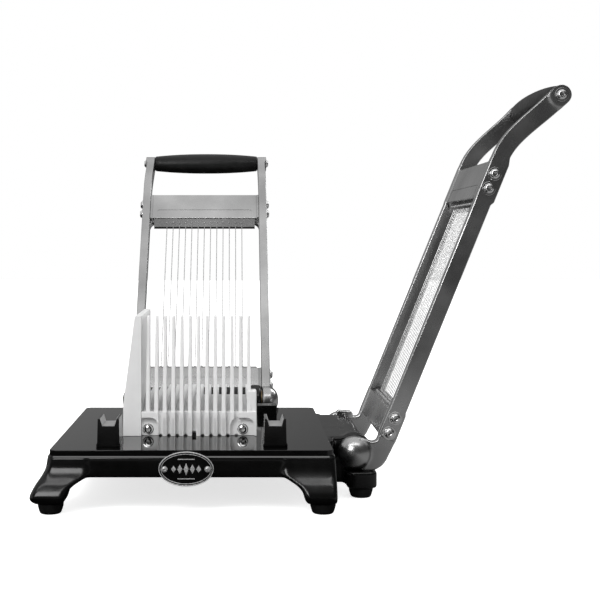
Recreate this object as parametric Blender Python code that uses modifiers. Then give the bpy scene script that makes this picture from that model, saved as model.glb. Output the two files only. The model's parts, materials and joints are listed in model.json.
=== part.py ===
"""Two-frame wire dicer: a cast base, a slotted bed with two comb walls, and two hinged wire frames.

Units are metres, +Z up. The design is drawn with the base plate's centre over the origin, and is
then shifted so that the origin is the centre of the front left foot's underside, on the floor.
The back frame hinges about an axis along X, the right frame about an axis along Y.
"""

import math

import bmesh
import bpy
from mathutils import Matrix, Vector

# ---- driving dimensions ----
MM = 0.001
GAP = 0.3 * MM

PITCH = 9.525 * MM
WIRES = 13
SLOT_WIDTH = 4.8 * MM

PLATE_HALF = 150 * MM
PLATE_TOP = 66 * MM
PLATE_CORNER = 7 * MM
LEDGE_DROP = 6.5 * MM
LEDGE_OUT = 1.6 * MM
APRON_BOTTOM = 37 * MM
APRON_WALL = 6 * MM
FOOT_HEIGHT = 10.7 * MM
LEG_BOTTOM = 11 * MM

BACK_PIVOT = Vector((0, 180 * MM, 71.5 * MM))
RIGHT_PIVOT = Vector((180 * MM, 13 * MM, 49.6 * MM))
BACK_LEAN = math.radians(34.5)
RIGHT_LEAN = math.radians(22.15)

RAIL_INNER = 83.3 * MM
RAIL_THICK = 12 * MM
RAIL_LOW = 17.25 * MM
RAIL_HIGH = 35.75 * MM
WIRE_OUT = 26.5 * MM
LOWER_BAR = (28.5 * MM, 59.5 * MM)
UPPER_BAR = (315.8 * MM, 360.3 * MM)
BAR_FACE = 16.8 * MM
BAND_HALF = 76.5 * MM
BAND_REACH = 15 * MM
BAND_THICK = 13 * MM
BAR_BACK = 37 * MM
BOSS_R = 18.5 * MM
DOME_R = 18.1 * MM
BARREL_R = 17 * MM
SHOULDER_REACH = 157 * MM
BARREL_HALF = 81.5 * MM
SHAFT_R = 8 * MM
GRIP_AXIS = (456.3 * MM, 61.9 * MM)
GRIP_R = 15.2 * MM
GRIP_END_R = 10 * MM
BOLT_R = 4 * MM
BOLT_HEAD_R = 6.75 * MM
BOLT_HEAD_HEIGHT = 4 * MM
BOLT_LENGTH = 28 * MM
BOLT_SPACING = 17.5 * MM

BED_TOP = PLATE_TOP + 40 * MM
WALL_TOP = PLATE_TOP + 135 * MM
FRONT_SLOT_FLOOR = PLATE_TOP + 27.3 * MM
SIDE_SLOT_FLOOR = PLATE_TOP + 8.4 * MM
SCREW_Z = PLATE_TOP + 7.2 * MM
SIDE_SCREW_Z = PLATE_TOP + 6 * MM
COMB_MID_Y = RIGHT_PIVOT.y
COMB_FRONT_Y = -66 * MM
COMB_LEFT_X = -80 * MM
COMB_RIGHT_X = 70.5 * MM

SIDES = 16


# ---- small tools ----
def clear_scene():
    for obj in list(bpy.data.objects):
        bpy.data.objects.remove(obj, do_unlink=True)


def new_collection(name):
    coll = bpy.data.collections.new(name)
    bpy.context.scene.collection.children.link(coll)
    return coll


def make_material(name, colour, roughness, metallic):
    mat = bpy.data.materials.new(name)
    mat.use_nodes = True
    shader = mat.node_tree.nodes["Principled BSDF"]
    shader.inputs["Base Color"].default_value = (*colour, 1.0)
    shader.inputs["Roughness"].default_value = roughness
    shader.inputs["Metallic"].default_value = metallic
    mat.diffuse_color = (*colour, 1.0)
    return mat


def add_object(name, mesh, mat=None, coll=None):
    obj = bpy.data.objects.new(name, mesh)
    (coll or PARTS).objects.link(obj)
    if mat is not None and not obj.data.materials:
        obj.data.materials.append(mat)
    return obj


def finish_bmesh(bm, name):
    bmesh.ops.recalc_face_normals(bm, faces=bm.faces)
    mesh = bpy.data.meshes.new(name)
    bm.to_mesh(mesh)
    bm.free()
    return mesh


def block_mesh(name, low, high):
    bm = bmesh.new()
    bmesh.ops.create_cube(bm, size=1.0)
    low = Vector(low)
    high = Vector(high)
    bmesh.ops.scale(bm, vec=high - low, verts=bm.verts)
    bmesh.ops.translate(bm, vec=(low + high) / 2, verts=bm.verts)
    return finish_bmesh(bm, name)


def rod_mesh(name, radius, start, end, sides=SIDES):
    """A straight round rod from start to end."""
    start = Vector(start)
    end = Vector(end)
    axis = end - start
    bm = bmesh.new()
    bmesh.ops.create_cone(bm, cap_ends=True, segments=sides, radius1=radius, radius2=radius,
                          depth=axis.length)
    turn = axis.to_track_quat("Z", "Y").to_matrix().to_4x4()
    bmesh.ops.transform(bm, matrix=Matrix.Translation((start + end) / 2) @ turn, verts=bm.verts)
    return finish_bmesh(bm, name)


def prism_mesh(name, outline, thickness, matrix):
    """A flat outline, as a filled 2D curve, given a thickness centred on its own plane."""
    curve = bpy.data.curves.new(name, "CURVE")
    curve.dimensions = "2D"
    curve.fill_mode = "BOTH"
    curve.extrude = thickness / 2
    spline = curve.splines.new("POLY")
    spline.points.add(len(outline) - 1)
    for point, (a, b) in zip(spline.points, outline):
        point.co = (a, b, 0, 1)
    spline.use_cyclic_u = True
    return welded_mesh(curve, name, matrix)


def welded_mesh(curve, name, matrix):
    obj = bpy.data.objects.new(name, curve)
    bpy.context.scene.collection.objects.link(obj)
    depsgraph = bpy.context.evaluated_depsgraph_get()
    mesh = bpy.data.meshes.new_from_object(obj.evaluated_get(depsgraph))
    bpy.data.objects.remove(obj, do_unlink=True)
    bm = bmesh.new()
    bm.from_mesh(mesh)
    bmesh.ops.remove_doubles(bm, verts=bm.verts, dist=0.001 * MM)
    bmesh.ops.transform(bm, matrix=matrix, verts=bm.verts)
    return finish_bmesh(bm, name)


def turned_mesh(name, profile, matrix, sides=SIDES):
    """A profile of (radius, height) points, outer side from top to bottom, turned about Z."""
    mesh = bpy.data.meshes.new(name)
    points = [(radius, 0, height) for radius, height in profile]
    closed = profile[0][0] > 0
    edges = [(i, i + 1) for i in range(len(points) - 1)]
    if closed:
        edges.append((len(points) - 1, 0))
    mesh.from_pydata(points, edges, [])
    obj = bpy.data.objects.new(name, mesh)
    bpy.context.scene.collection.objects.link(obj)
    screw = obj.modifiers.new("turn", "SCREW")
    screw.axis = "Z"
    screw.steps = sides
    screw.render_steps = sides
    screw.use_merge_vertices = True
    screw.merge_threshold = 0.01 * MM
    screw.use_smooth_shade = True
    baked = baked_mesh(obj)
    baked.transform(matrix)
    return baked


def baked_mesh(obj):
    """The evaluated mesh of an object, after which the object is removed."""
    depsgraph = bpy.context.evaluated_depsgraph_get()
    mesh = bpy.data.meshes.new_from_object(obj.evaluated_get(depsgraph))
    mesh.name = obj.name
    bpy.data.objects.remove(obj, do_unlink=True)
    return mesh


def combine(obj, meshes, operation):
    """Boolean obj with each mesh; the operands sit in the cutters collection."""
    for number, mesh in enumerate(meshes):
        operand = add_object(f"{obj.name}_{operation.lower()}_{number}", mesh, coll=CUTTERS)
        operand.hide_render = True
        operand.display_type = "WIRE"
        boolean = obj.modifiers.new(operand.name, "BOOLEAN")
        boolean.operation = operation
        boolean.solver = "EXACT"
        boolean.object = operand


def shade(obj, angle=35):
    obj.data.shade_smooth()
    obj.data.set_sharp_from_angle(angle=math.radians(angle))


def arc(centre, radius, start, end, steps):
    """Points on an arc, with angles in degrees."""
    points = []
    for i in range(steps + 1):
        angle = math.radians(start + (end - start) * i / steps)
        points.append((centre[0] + radius * math.cos(angle), centre[1] + radius * math.sin(angle)))
    return points


def round_rect(half_a, half_b, radius, steps=4, centre=(0.0, 0.0)):
    """A rectangle outline with round corners."""
    points = []
    for start, sign_a, sign_b in ((0, 1, 1), (90, -1, 1), (180, -1, -1), (270, 1, -1)):
        corner = (centre[0] + sign_a * (half_a - radius), centre[1] + sign_b * (half_b - radius))
        points.extend(arc(corner, radius, start, start + 90, steps))
    return points


def flat_prism(name, outline, low_z, high_z):
    return prism_mesh(name, outline, high_z - low_z, Matrix.Translation((0, 0, (low_z + high_z) / 2)))


# ---- base ----
def leg_outer(height):
    """How far a splayed leg's outer face stands from the plate centre, at a height."""
    stations = ((11, 162), (15, 167.5), (19, 168), (31, 163), (40, 157), (48, 153.2), (58, 153),
                (62, 149))
    return station_value(stations, height)


def leg_inner(height):
    """How far a splayed leg's inner face stands from the plate centre, at a height."""
    stations = ((11, 134), (16, 131), (24, 128.6), (30, 123), (35.5, 114), (40, 106), (62, 104))
    return station_value(stations, height)


def station_value(stations, height):
    level = height / MM
    for (low, low_value), (high, high_value) in zip(stations, stations[1:]):
        if level <= high:
            share = max(0.0, (level - low) / (high - low))
            return (low_value + share * (high_value - low_value)) * MM
    return stations[-1][1] * MM


def leg_mesh(name, sign_x, sign_y, splay_x, splay_y):
    """A cabriole corner leg: a loft of rounded rectangles, splayed on the free sides."""
    straight_in = 12 * MM
    straight_out = 153.6 * MM
    levels = [62, 58, 50, 44, 38, 34, 30, 24, 19, 15, 11]
    bm = bmesh.new()
    rings = []
    for level in levels:
        height = level * MM
        spans = []
        for splay in (splay_x, splay_y):
            outer = leg_outer(height)
            inner = leg_inner(height)
            if not splay:
                outer = min(outer, straight_out)
                inner -= straight_in
            spans.append((inner, outer))
        half_x = (spans[0][1] - spans[0][0]) / 2
        half_y = (spans[1][1] - spans[1][0]) / 2
        centre = ((spans[0][0] + spans[0][1]) / 2, (spans[1][0] + spans[1][1]) / 2)
        outline = round_rect(half_x, half_y, 0.42 * min(half_x, half_y), 3, centre)
        ring = [bm.verts.new((sign_x * x, sign_y * y, height)) for x, y in outline]
        rings.append(ring)
    for upper, lower in zip(rings, rings[1:]):
        for i in range(len(upper)):
            j = (i + 1) % len(upper)
            bm.faces.new((upper[i], upper[j], lower[j], lower[i]))
    bm.faces.new(rings[0])
    bm.faces.new(rings[-1])
    return finish_bmesh(bm, name)


FEET = {
    "foot_front_left": (-148 * MM, -148 * MM),
    "foot_front_right": (138.7 * MM, -148 * MM),
    "foot_rear_left": (-148 * MM, 138.7 * MM),
    "foot_rear_right": (138.7 * MM, 138.7 * MM),
    "foot_right_tab": (187.2 * MM, -73 * MM),
    "foot_back_tab": (-73 * MM, 187.2 * MM),
}


def tab_meshes(name, pivot, half, along):
    """A hinge tab with its barrel. along is the barrel's axis; the tab runs to it from the plate."""
    across = Vector((1, 0, 0)) if along.y else Vector((0, 1, 0))
    mid = pivot.dot(along)
    reach = pivot.dot(across)
    barrel_start = Vector(pivot) - along * half
    barrel_end = Vector(pivot) + along * half
    plate_edge = PLATE_HALF - APRON_WALL

    def corner(low_across, low_along, low_z, high_across, high_along, high_z):
        low = across * low_across + along * low_along + Vector((0, 0, low_z))
        high = across * high_across + along * high_along + Vector((0, 0, high_z))
        return block_mesh(name, low, high)

    web_top = min(PLATE_TOP, pivot.z + 12 * MM) - 0.2 * MM
    web = corner(plate_edge, mid - half, APRON_BOTTOM, reach, mid + half, web_top)
    shoulder = corner(plate_edge, mid - half - 14 * MM, APRON_BOTTOM + MM,
                      SHOULDER_REACH, mid + half + 12 * MM, PLATE_TOP - 0.4 * MM)
    barrel = rod_mesh(name, BARREL_R, barrel_start, barrel_end, 24)
    return [shoulder, web, barrel]


def tab_foot_mesh(name, foot_x, foot_y, pivot):
    """The pad that carries a tab's foot, below the hinge boss."""
    top = pivot.z - BOSS_R - 2 * MM
    outline = round_rect(17 * MM, 17 * MM, 9 * MM, 3, (foot_x, foot_y))
    return flat_prism(name, outline, LEG_BOTTOM, min(top, 30 * MM))


def make_base(mat):
    plate = flat_prism("base_casting", round_rect(PLATE_HALF, PLATE_HALF, PLATE_CORNER, 5),
                       PLATE_TOP - LEDGE_DROP - 2 * MM, PLATE_TOP)
    base = add_object("base_casting", plate, mat)
    apron_half = PLATE_HALF + LEDGE_OUT
    cavity_half = apron_half - APRON_WALL
    apron = flat_prism("apron", round_rect(apron_half, apron_half, PLATE_CORNER + LEDGE_OUT, 5),
                       APRON_BOTTOM, PLATE_TOP - LEDGE_DROP)
    cavity = flat_prism("cavity", round_rect(cavity_half, cavity_half, PLATE_CORNER, 3),
                        APRON_BOTTOM - 5 * MM, PLATE_TOP - 13 * MM)
    combine(base, [apron], "UNION")
    combine(base, [cavity], "DIFFERENCE")
    legs = [
        leg_mesh("leg", -1, -1, True, True),
        leg_mesh("leg", 1, -1, False, True),
        leg_mesh("leg", -1, 1, True, False),
        leg_mesh("leg", 1, 1, False, False),
    ]
    right_tab = tab_meshes("right_tab", RIGHT_PIVOT, BARREL_HALF, Vector((0, 1, 0)))
    back_tab = tab_meshes("back_tab", BACK_PIVOT, BARREL_HALF, Vector((1, 0, 0)))
    combine(base, legs + right_tab + back_tab, "UNION")

    foot_x, foot_y = FEET["foot_right_tab"]
    right_pad = tab_foot_mesh("pad", foot_x, foot_y, RIGHT_PIVOT)
    strut_bottom = LEG_BOTTOM + 3 * MM
    right_strut = block_mesh("strut", (150 * MM, -68 * MM, strut_bottom), (190 * MM, -50 * MM, 45 * MM))
    foot_x, foot_y = FEET["foot_back_tab"]
    back_pad = tab_foot_mesh("pad", foot_x, foot_y, BACK_PIVOT)
    back_strut = block_mesh("strut", (-81 * MM, 150 * MM, strut_bottom), (-50 * MM, 190 * MM, 60 * MM))
    combine(base, [right_pad, right_strut, back_pad, back_strut], "UNION")

    bores = []
    for pivot, along in ((BACK_PIVOT, Vector((1, 0, 0))), (RIGHT_PIVOT, Vector((0, 1, 0)))):
        reach = along * (BARREL_HALF + 2 * MM)
        bores.append(rod_mesh("bore", SHAFT_R + 0.6 * MM, pivot - reach, pivot + reach))
        for sign in (-1, 1):
            mouth = pivot + along * sign * (BARREL_HALF + 2 * MM)
            depth = pivot + along * sign * (BARREL_HALF - 15 * MM)
            bores.append(rod_mesh("bush_seat", BUSH_R + GAP, mouth, depth))
    for x in BADGE_SCREWS_X:
        start = (x, -PLATE_HALF - 5 * MM, BADGE_Z)
        end = (x, -PLATE_HALF + 2 * MM, BADGE_Z)
        bores.append(rod_mesh("badge_hole", 1.7 * MM, start, end, 12))
    combine(base, bores, "DIFFERENCE")
    shade(base)


def make_feet(mat):
    for name, (x, y) in FEET.items():
        profile = [(0, FOOT_HEIGHT), (13.6 * MM, FOOT_HEIGHT), (13.2 * MM, 7 * MM), (11.4 * MM, 1 * MM),
                   (10.6 * MM, 0), (0, 0)]
        foot = add_object(name, turned_mesh(name, profile, Matrix.Translation((x, y, 0))), mat)
        shade(foot)


BADGE_X = -5.2 * MM
BADGE_Z = 47 * MM
BADGE_HALF = (29 * MM, 18.2 * MM)
BADGE_THICK = 3 * MM
BADGE_Y = -PLATE_HALF - LEDGE_OUT - GAP - BADGE_THICK / 2
BADGE_SCREWS_X = (BADGE_X - 22.6 * MM, BADGE_X + 22.6 * MM)


def make_badge(plate_mat, screw_mat):
    outline = []
    for i in range(40):
        angle = 2 * math.pi * i / 40
        outline.append((BADGE_HALF[0] * math.cos(angle), BADGE_HALF[1] * math.sin(angle)))
    place = Matrix.Translation((BADGE_X, BADGE_Y, BADGE_Z)) @ Matrix.Rotation(math.pi / 2, 4, "X")
    plate = prism_mesh("badge_plate", outline, BADGE_THICK, place)
    badge = add_object("badge_plate", plate, plate_mat)
    holes = [rod_mesh("hole", 1.7 * MM, (x, BADGE_Y - 5 * MM, BADGE_Z), (x, BADGE_Y + 5 * MM, BADGE_Z), 12)
             for x in BADGE_SCREWS_X]
    combine(badge, holes, "DIFFERENCE")
    shade(badge)
    front = BADGE_Y - BADGE_THICK / 2 - GAP
    for side, x in zip(("left", "right"), BADGE_SCREWS_X):
        name = f"badge_screw_{side}"
        screw = add_object(name, screw_mesh(name, 3.3 * MM, 2 * MM, 1.4 * MM, 6 * MM,
                                            Vector((x, front, BADGE_Z)), Vector((0, -1, 0))), screw_mat)
        shade(screw)


def screw_mesh(name, head_r, head_height, shank_r, length, seat, outward):
    """A domed screw: the head's underside is at seat, and the head points outward."""
    profile = [(0, head_height), (0.5 * head_r, 0.93 * head_height), (0.86 * head_r, 0.6 * head_height),
               (head_r, 0), (shank_r, 0), (shank_r, -length), (0, -length)]
    turn = outward.to_track_quat("Z", "Y").to_matrix().to_4x4()
    return turned_mesh(name, profile, Matrix.Translation(seat) @ turn, 12)


# ---- rest posts ----
POST_X = 89.3 * MM
POST_Y = (-132 * MM, -97 * MM)
POST_HALF = 12 * MM
POST_HEIGHT = 30 * MM
NOTCH_FLOOR = 22.4 * MM


def make_posts(mat):
    bottom = PLATE_TOP + GAP
    outline = [(-POST_HALF - MM, bottom), (POST_HALF + MM, bottom), (POST_HALF, bottom + 3 * MM),
               (POST_HALF - 0.6 * MM, PLATE_TOP + POST_HEIGHT), (8.8 * MM, PLATE_TOP + POST_HEIGHT),
               (6.5 * MM, PLATE_TOP + NOTCH_FLOOR), (-6.5 * MM, PLATE_TOP + NOTCH_FLOOR),
               (-8.8 * MM, PLATE_TOP + POST_HEIGHT), (-POST_HALF + 0.6 * MM, PLATE_TOP + POST_HEIGHT),
               (-POST_HALF, bottom + 3 * MM)]
    depth = POST_Y[1] - POST_Y[0]
    middle = (POST_Y[0] + POST_Y[1]) / 2
    for side, sign in (("left", -1), ("right", 1)):
        place = Matrix.Translation((sign * POST_X, middle, 0)) @ Matrix.Rotation(math.pi / 2, 4, "X")
        name = f"rest_post_{side}"
        add_object(name, prism_mesh(name, outline, depth, place), mat)


# ---- bed and combs ----
def slot_centres(middle):
    return [middle + (i - (WIRES - 1) / 2) * PITCH for i in range(WIRES)]


BED_HALF = (WIRES / 2) * PITCH + SLOT_WIDTH / 2 - 0.04 * MM
BED_LEFT = slot_centres(0)[0] - SLOT_WIDTH / 2 + 0.1 * MM
BED_FRONT = slot_centres(COMB_MID_Y)[0] - SLOT_WIDTH / 2 + 0.1 * MM
SCREW_SEAT_DEPTH = 6 * MM
POCKET_HEIGHT = 20.8 * MM
COMB_SCREWS_X = (-52 * MM, 55 * MM)
COMB_SCREWS_Y = (COMB_MID_Y - 5.5 * PITCH, COMB_MID_Y + 5.5 * PITCH)
COMB_SCREW_R = 1.9 * MM
COMB_SCREW_LENGTH = 17.5 * MM
SCREW_BITE = 4.5 * MM


def merged_blocks(name, spans):
    """One mesh that holds several blocks which don't touch, for use as a cutter."""
    bm = bmesh.new()
    for low, high in spans:
        low = Vector(low)
        high = Vector(high)
        made = bmesh.ops.create_cube(bm, size=1.0)["verts"]
        bmesh.ops.scale(bm, vec=high - low, verts=made)
        bmesh.ops.translate(bm, vec=(low + high) / 2, verts=made)
    return finish_bmesh(bm, name)


def front_slots(low_y, high_y, centres):
    half = SLOT_WIDTH / 2
    return merged_blocks("front_slots", [((x - half, low_y, FRONT_SLOT_FLOOR), (x + half, high_y, 1))
                                         for x in centres])


def side_slots(low_x, high_x, centres):
    half = SLOT_WIDTH / 2
    return merged_blocks("side_slots", [((low_x, y - half, SIDE_SLOT_FLOOR), (high_x, y + half, 1))
                                        for y in centres])


def make_bed(mat):
    low = (BED_LEFT, BED_FRONT, PLATE_TOP + GAP)
    high = (BED_HALF, COMB_MID_Y + BED_HALF, BED_TOP)
    bed = add_object("bed_block", block_mesh("bed_block", low, high), mat)
    reach = 0.2
    combine(bed, [front_slots(-reach, reach, slot_centres(0)),
                  side_slots(-reach, reach, slot_centres(COMB_MID_Y))], "DIFFERENCE")
    holes = []
    for x in COMB_SCREWS_X:
        holes.append(rod_mesh("hole", COMB_SCREW_R + 0.2 * MM, (x, BED_FRONT - 5 * MM, SCREW_Z),
                              (x, BED_FRONT + SCREW_BITE, SCREW_Z), 12))
    for y in COMB_SCREWS_Y:
        holes.append(rod_mesh("hole", COMB_SCREW_R + 0.2 * MM, (BED_LEFT - 5 * MM, y, SIDE_SCREW_Z),
                              (BED_LEFT + SCREW_BITE, y, SIDE_SCREW_Z), 12))
    combine(bed, holes, "DIFFERENCE")


def make_front_comb(mat):
    rear = BED_FRONT - GAP
    left = BED_LEFT
    right = BED_HALF
    outline = [(COMB_FRONT_Y, PLATE_TOP + GAP), (rear, PLATE_TOP + GAP), (rear, WALL_TOP),
               (-54 * MM, WALL_TOP), (COMB_FRONT_Y, PLATE_TOP + 20 * MM)]
    turn = Matrix.Rotation(math.pi / 2, 4, "Z") @ Matrix.Rotation(math.pi / 2, 4, "X")
    place = Matrix.Translation(((left + right) / 2, 0, 0)) @ turn
    comb = add_object("front_comb", prism_mesh("front_comb", outline, right - left, place), mat)
    flange = block_mesh("flange", (right - MM, COMB_FRONT_Y + 2 * MM, PLATE_TOP + GAP),
                        (COMB_RIGHT_X, rear, PLATE_TOP + 62 * MM))
    combine(comb, [flange], "UNION")
    centres = slot_centres(0)
    combine(comb, [front_slots(-0.1, 0, centres[1:])], "DIFFERENCE")
    half = SLOT_WIDTH / 2
    corner = merged_blocks("corner", [((-0.1, -0.1, FRONT_SLOT_FLOOR), (centres[0] + half, 0, 1))])
    groove_back = COMB_FRONT_Y + 7 * MM
    grooves = merged_blocks("grooves", [((x - half, -0.1, 0), (x + half, groove_back, FRONT_SLOT_FLOOR))
                                        for x in centres[2:-1]])
    floor = COMB_FRONT_Y + SCREW_SEAT_DEPTH
    pockets = []
    for low, high in ((-0.1, -40.5 * MM), (44 * MM, 0.1)):
        middle = ((low + high) / 2, PLATE_TOP)
        outline = round_rect((high - low) / 2, POCKET_HEIGHT, 9 * MM, 4, middle)
        matrix = Matrix.Translation((0, floor - 0.02, 0)) @ Matrix.Rotation(math.pi / 2, 4, "X")
        pockets.append(prism_mesh("pocket", outline, 0.04, matrix))
    notch = merged_blocks("notch", [((-3.5 * MM, -0.1, 0), (3.5 * MM, 0, PLATE_TOP + 5 * MM))])
    holes = [rod_mesh("hole", COMB_SCREW_R + 0.2 * MM, (x, -0.1, SCREW_Z), (x, 0, SCREW_Z), 12)
             for x in COMB_SCREWS_X]
    combine(comb, [corner, grooves] + pockets + [notch] + holes, "DIFFERENCE")


def make_side_comb(mat):
    inner = BED_LEFT - GAP
    outline = [(COMB_LEFT_X, PLATE_TOP + GAP), (inner, PLATE_TOP + GAP), (inner, WALL_TOP),
               (-67 * MM, WALL_TOP), (COMB_LEFT_X, PLATE_TOP + 36 * MM)]
    back = COMB_MID_Y + BED_HALF
    depth = back - COMB_FRONT_Y
    place = Matrix.Translation((0, (back + COMB_FRONT_Y) / 2, 0)) @ Matrix.Rotation(math.pi / 2, 4, "X")
    comb = add_object("side_comb", prism_mesh("side_comb", outline, depth, place), mat)
    holes = []
    for y in COMB_SCREWS_Y:
        start = (-0.1, y, SIDE_SCREW_Z)
        seat = (COMB_LEFT_X + SCREW_SEAT_DEPTH, y, SIDE_SCREW_Z)
        holes.append(rod_mesh("hole", COMB_SCREW_R + 0.2 * MM, start, (0, y, SIDE_SCREW_Z), 12))
        holes.append(rod_mesh("seat", 7 * MM, start, seat, 20))
    combine(comb, [side_slots(-0.1, 0, slot_centres(COMB_MID_Y))] + holes, "DIFFERENCE")


def make_comb_screws(mat):
    seats = {}
    for side, x in zip(("left", "right"), COMB_SCREWS_X):
        seat = Vector((x, COMB_FRONT_Y + SCREW_SEAT_DEPTH - GAP, SCREW_Z))
        seats[f"comb_screw_front_{side}"] = (seat, Vector((0, -1, 0)))
    for side, y in zip(("near", "far"), COMB_SCREWS_Y):
        seat = Vector((COMB_LEFT_X + SCREW_SEAT_DEPTH - GAP, y, SIDE_SCREW_Z))
        seats[f"comb_screw_side_{side}"] = (seat, Vector((-1, 0, 0)))
    for name, (seat, outward) in seats.items():
        mesh = screw_mesh(name, 5.5 * MM, 4.5 * MM, COMB_SCREW_R, COMB_SCREW_LENGTH, seat, outward)
        shade(add_object(name, mesh, mat))


# ---- hinge shafts and bushes ----
BUSH_R = 10.2 * MM
BUSH_FLANGE_R = 13 * MM


def make_hinge(label, ends, pivot, along, shaft_mat, bush_mat):
    turn = along.to_track_quat("Z", "Y").to_matrix().to_4x4()
    half = RAIL_INNER + 10 * MM
    chamfer = MM
    profile = [(0, half), (SHAFT_R - chamfer, half), (SHAFT_R, half - chamfer),
               (SHAFT_R, chamfer - half), (SHAFT_R - chamfer, -half), (0, -half)]
    name = f"{label}_hinge_shaft"
    shade(add_object(name, turned_mesh(name, profile, Matrix.Translation(pivot) @ turn), shaft_mat))
    bore = SHAFT_R + GAP
    seat = BARREL_HALF + GAP
    outer = RAIL_INNER - GAP
    for end, sign in zip(ends, (-1, 1)):
        profile = [(bore, outer), (BUSH_FLANGE_R, outer), (BUSH_FLANGE_R, seat), (BUSH_R, seat),
                   (BUSH_R, seat - 14 * MM), (bore, seat - 14 * MM)]
        facing = Matrix.Identity(4) if sign > 0 else Matrix.Rotation(math.pi, 4, "X")
        name = f"{label}_hinge_bush_{end}"
        mesh = turned_mesh(name, profile, Matrix.Translation(pivot) @ turn @ facing)
        shade(add_object(name, mesh, bush_mat))


# ---- wire frames, drawn with the pivot at the origin, +Z along the rails and +Y outward ----
def bezier(points, share):
    rest = 1 - share
    weights = (rest ** 3, 3 * rest ** 2 * share, 3 * rest * share ** 2, share ** 3)
    along = sum(weight * point[0] for weight, point in zip(weights, points))
    out = sum(weight * point[1] for weight, point in zip(weights, points))
    return along, out


def handle_edges(steps=9):
    """The two edges of the S-shaped handle arm, from the straight rail to the grip's centre."""
    guide = [(366 * MM, WIRE_OUT), (396 * MM, WIRE_OUT), (420 * MM, 47 * MM), GRIP_AXIS]
    high_edge = []
    low_edge = []
    for i in range(steps + 1):
        share = i / steps
        a, b = bezier(guide, share)
        before = bezier(guide, max(share - 0.01, 0))
        after = bezier(guide, min(share + 0.01, 1))
        angle = math.atan2(after[1] - before[1], after[0] - before[0])
        half = (9.25 + 1.75 * share) * MM
        high_edge.append((a - half * math.sin(angle), b + half * math.cos(angle)))
        low_edge.append((a + half * math.sin(angle), b - half * math.cos(angle)))
    return high_edge, low_edge, math.degrees(angle)


def rail_outline():
    """The rail's side view: hinge boss, hook, straight rail with two pads, S arm and round end."""
    hook_r = 24 * MM
    high_edge, low_edge, end_angle = handle_edges()
    points = arc((0, 0), BOSS_R, 0, -214, 16)
    points += arc((9 * MM, 11.5 * MM), hook_r, 178, 90, 7)
    pad_low = LOWER_BAR[1] - MM
    pad_high = UPPER_BAR[0] + MM
    pad_end = UPPER_BAR[1] + MM
    ramp = 4 * MM
    points += [(LOWER_BAR[0] - MM, BAR_BACK), (pad_low, BAR_BACK), (pad_low + ramp, RAIL_HIGH),
               (pad_high - ramp, RAIL_HIGH), (pad_high, 38 * MM), (pad_end, 38 * MM)]
    points += high_edge[1:-1]
    points += arc(GRIP_AXIS, 11 * MM, end_angle + 90, end_angle - 90, 8)
    points += list(reversed(low_edge[:-1]))
    points += [(pad_end, BAR_FACE), (pad_high, BAR_FACE), (pad_high - ramp, RAIL_LOW),
               (pad_low + ramp, RAIL_LOW), (pad_low, BAR_FACE), (LOWER_BAR[0], BAR_FACE)]
    points += arc((25.3 * MM, 10.8 * MM), 6.4 * MM, 110, 180, 3)
    return points


def bolt_places():
    """Along positions of the crossbar bolts, by name."""
    places = {}
    for label, span in (("lower", LOWER_BAR), ("upper", UPPER_BAR)):
        middle = sum(span) / 2
        places[f"{label}_a"] = middle - BOLT_SPACING / 2
        places[f"{label}_b"] = middle + BOLT_SPACING / 2
    return places


def rail_mesh(sign):
    """A rail on the side of the frame that sign gives, with its dome, blind bore and bolt holes."""
    swap = Matrix(((0, 0, 1, 0), (0, 1, 0, 0), (1, 0, 0, 0), (0, 0, 0, 1)))
    middle = Vector((sign * (RAIL_INNER + RAIL_THICK / 2), 0, 0))
    body = prism_mesh("rail", rail_outline(), RAIL_THICK, Matrix.Translation(middle) @ swap)
    rail = add_object("rail", body, coll=CUTTERS)
    face = RAIL_INNER + RAIL_THICK
    dome = [(0, 10.5 * MM), (5.5 * MM, 10 * MM), (10.5 * MM, 8.3 * MM), (15 * MM, 5 * MM),
            (DOME_R, 0), (DOME_R, -2 * MM), (0, -2 * MM)]
    outward = Vector((sign, 0, 0)).to_track_quat("Z", "Y").to_matrix().to_4x4()
    place = Matrix.Translation((sign * face, 0, 0)) @ outward
    combine(rail, [turned_mesh("dome", dome, place)], "UNION")
    holes = [rod_mesh("bore", SHAFT_R + GAP, (sign * (RAIL_INNER - MM), 0, 0),
                      (sign * (RAIL_INNER + 11 * MM), 0, 0))]
    spots = [(WIRE_OUT, along) for along in bolt_places().values()]
    spots.append((GRIP_AXIS[1], GRIP_AXIS[0]))
    for out, along in spots:
        start = (sign * (RAIL_INNER - MM), out, along)
        end = (sign * (face + MM), out, along)
        holes.append(rod_mesh("hole", BOLT_R + GAP, start, end, 12))
    combine(rail, holes, "DIFFERENCE")
    return baked_mesh(rail)


def crossbar_mesh(label, span):
    half = RAIL_INNER - GAP
    block = block_mesh("bar", (-half, BAR_FACE, span[0]), (half, BAR_BACK, span[1]))
    bar = add_object("bar", block, coll=CUTTERS)
    if label == "upper":
        outline = round_rect(BAND_HALF, BAND_REACH, 6 * MM, 3, (0, span[0]))
        flat = Matrix.Translation((0, WIRE_OUT, 0)) @ Matrix.Rotation(math.pi / 2, 4, "X")
        band = prism_mesh("band", outline, BAND_THICK, flat)
        combine(bar, [band], "UNION")
    holes = []
    for name, along in bolt_places().items():
        if not name.startswith(label):
            continue
        for sign in (-1, 1):
            start = (sign * (half + MM), WIRE_OUT, along)
            end = (sign * (half - 18 * MM), WIRE_OUT, along)
            holes.append(rod_mesh("hole", BOLT_R + GAP, start, end, 12))
    combine(bar, holes, "DIFFERENCE")
    return baked_mesh(bar)


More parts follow.
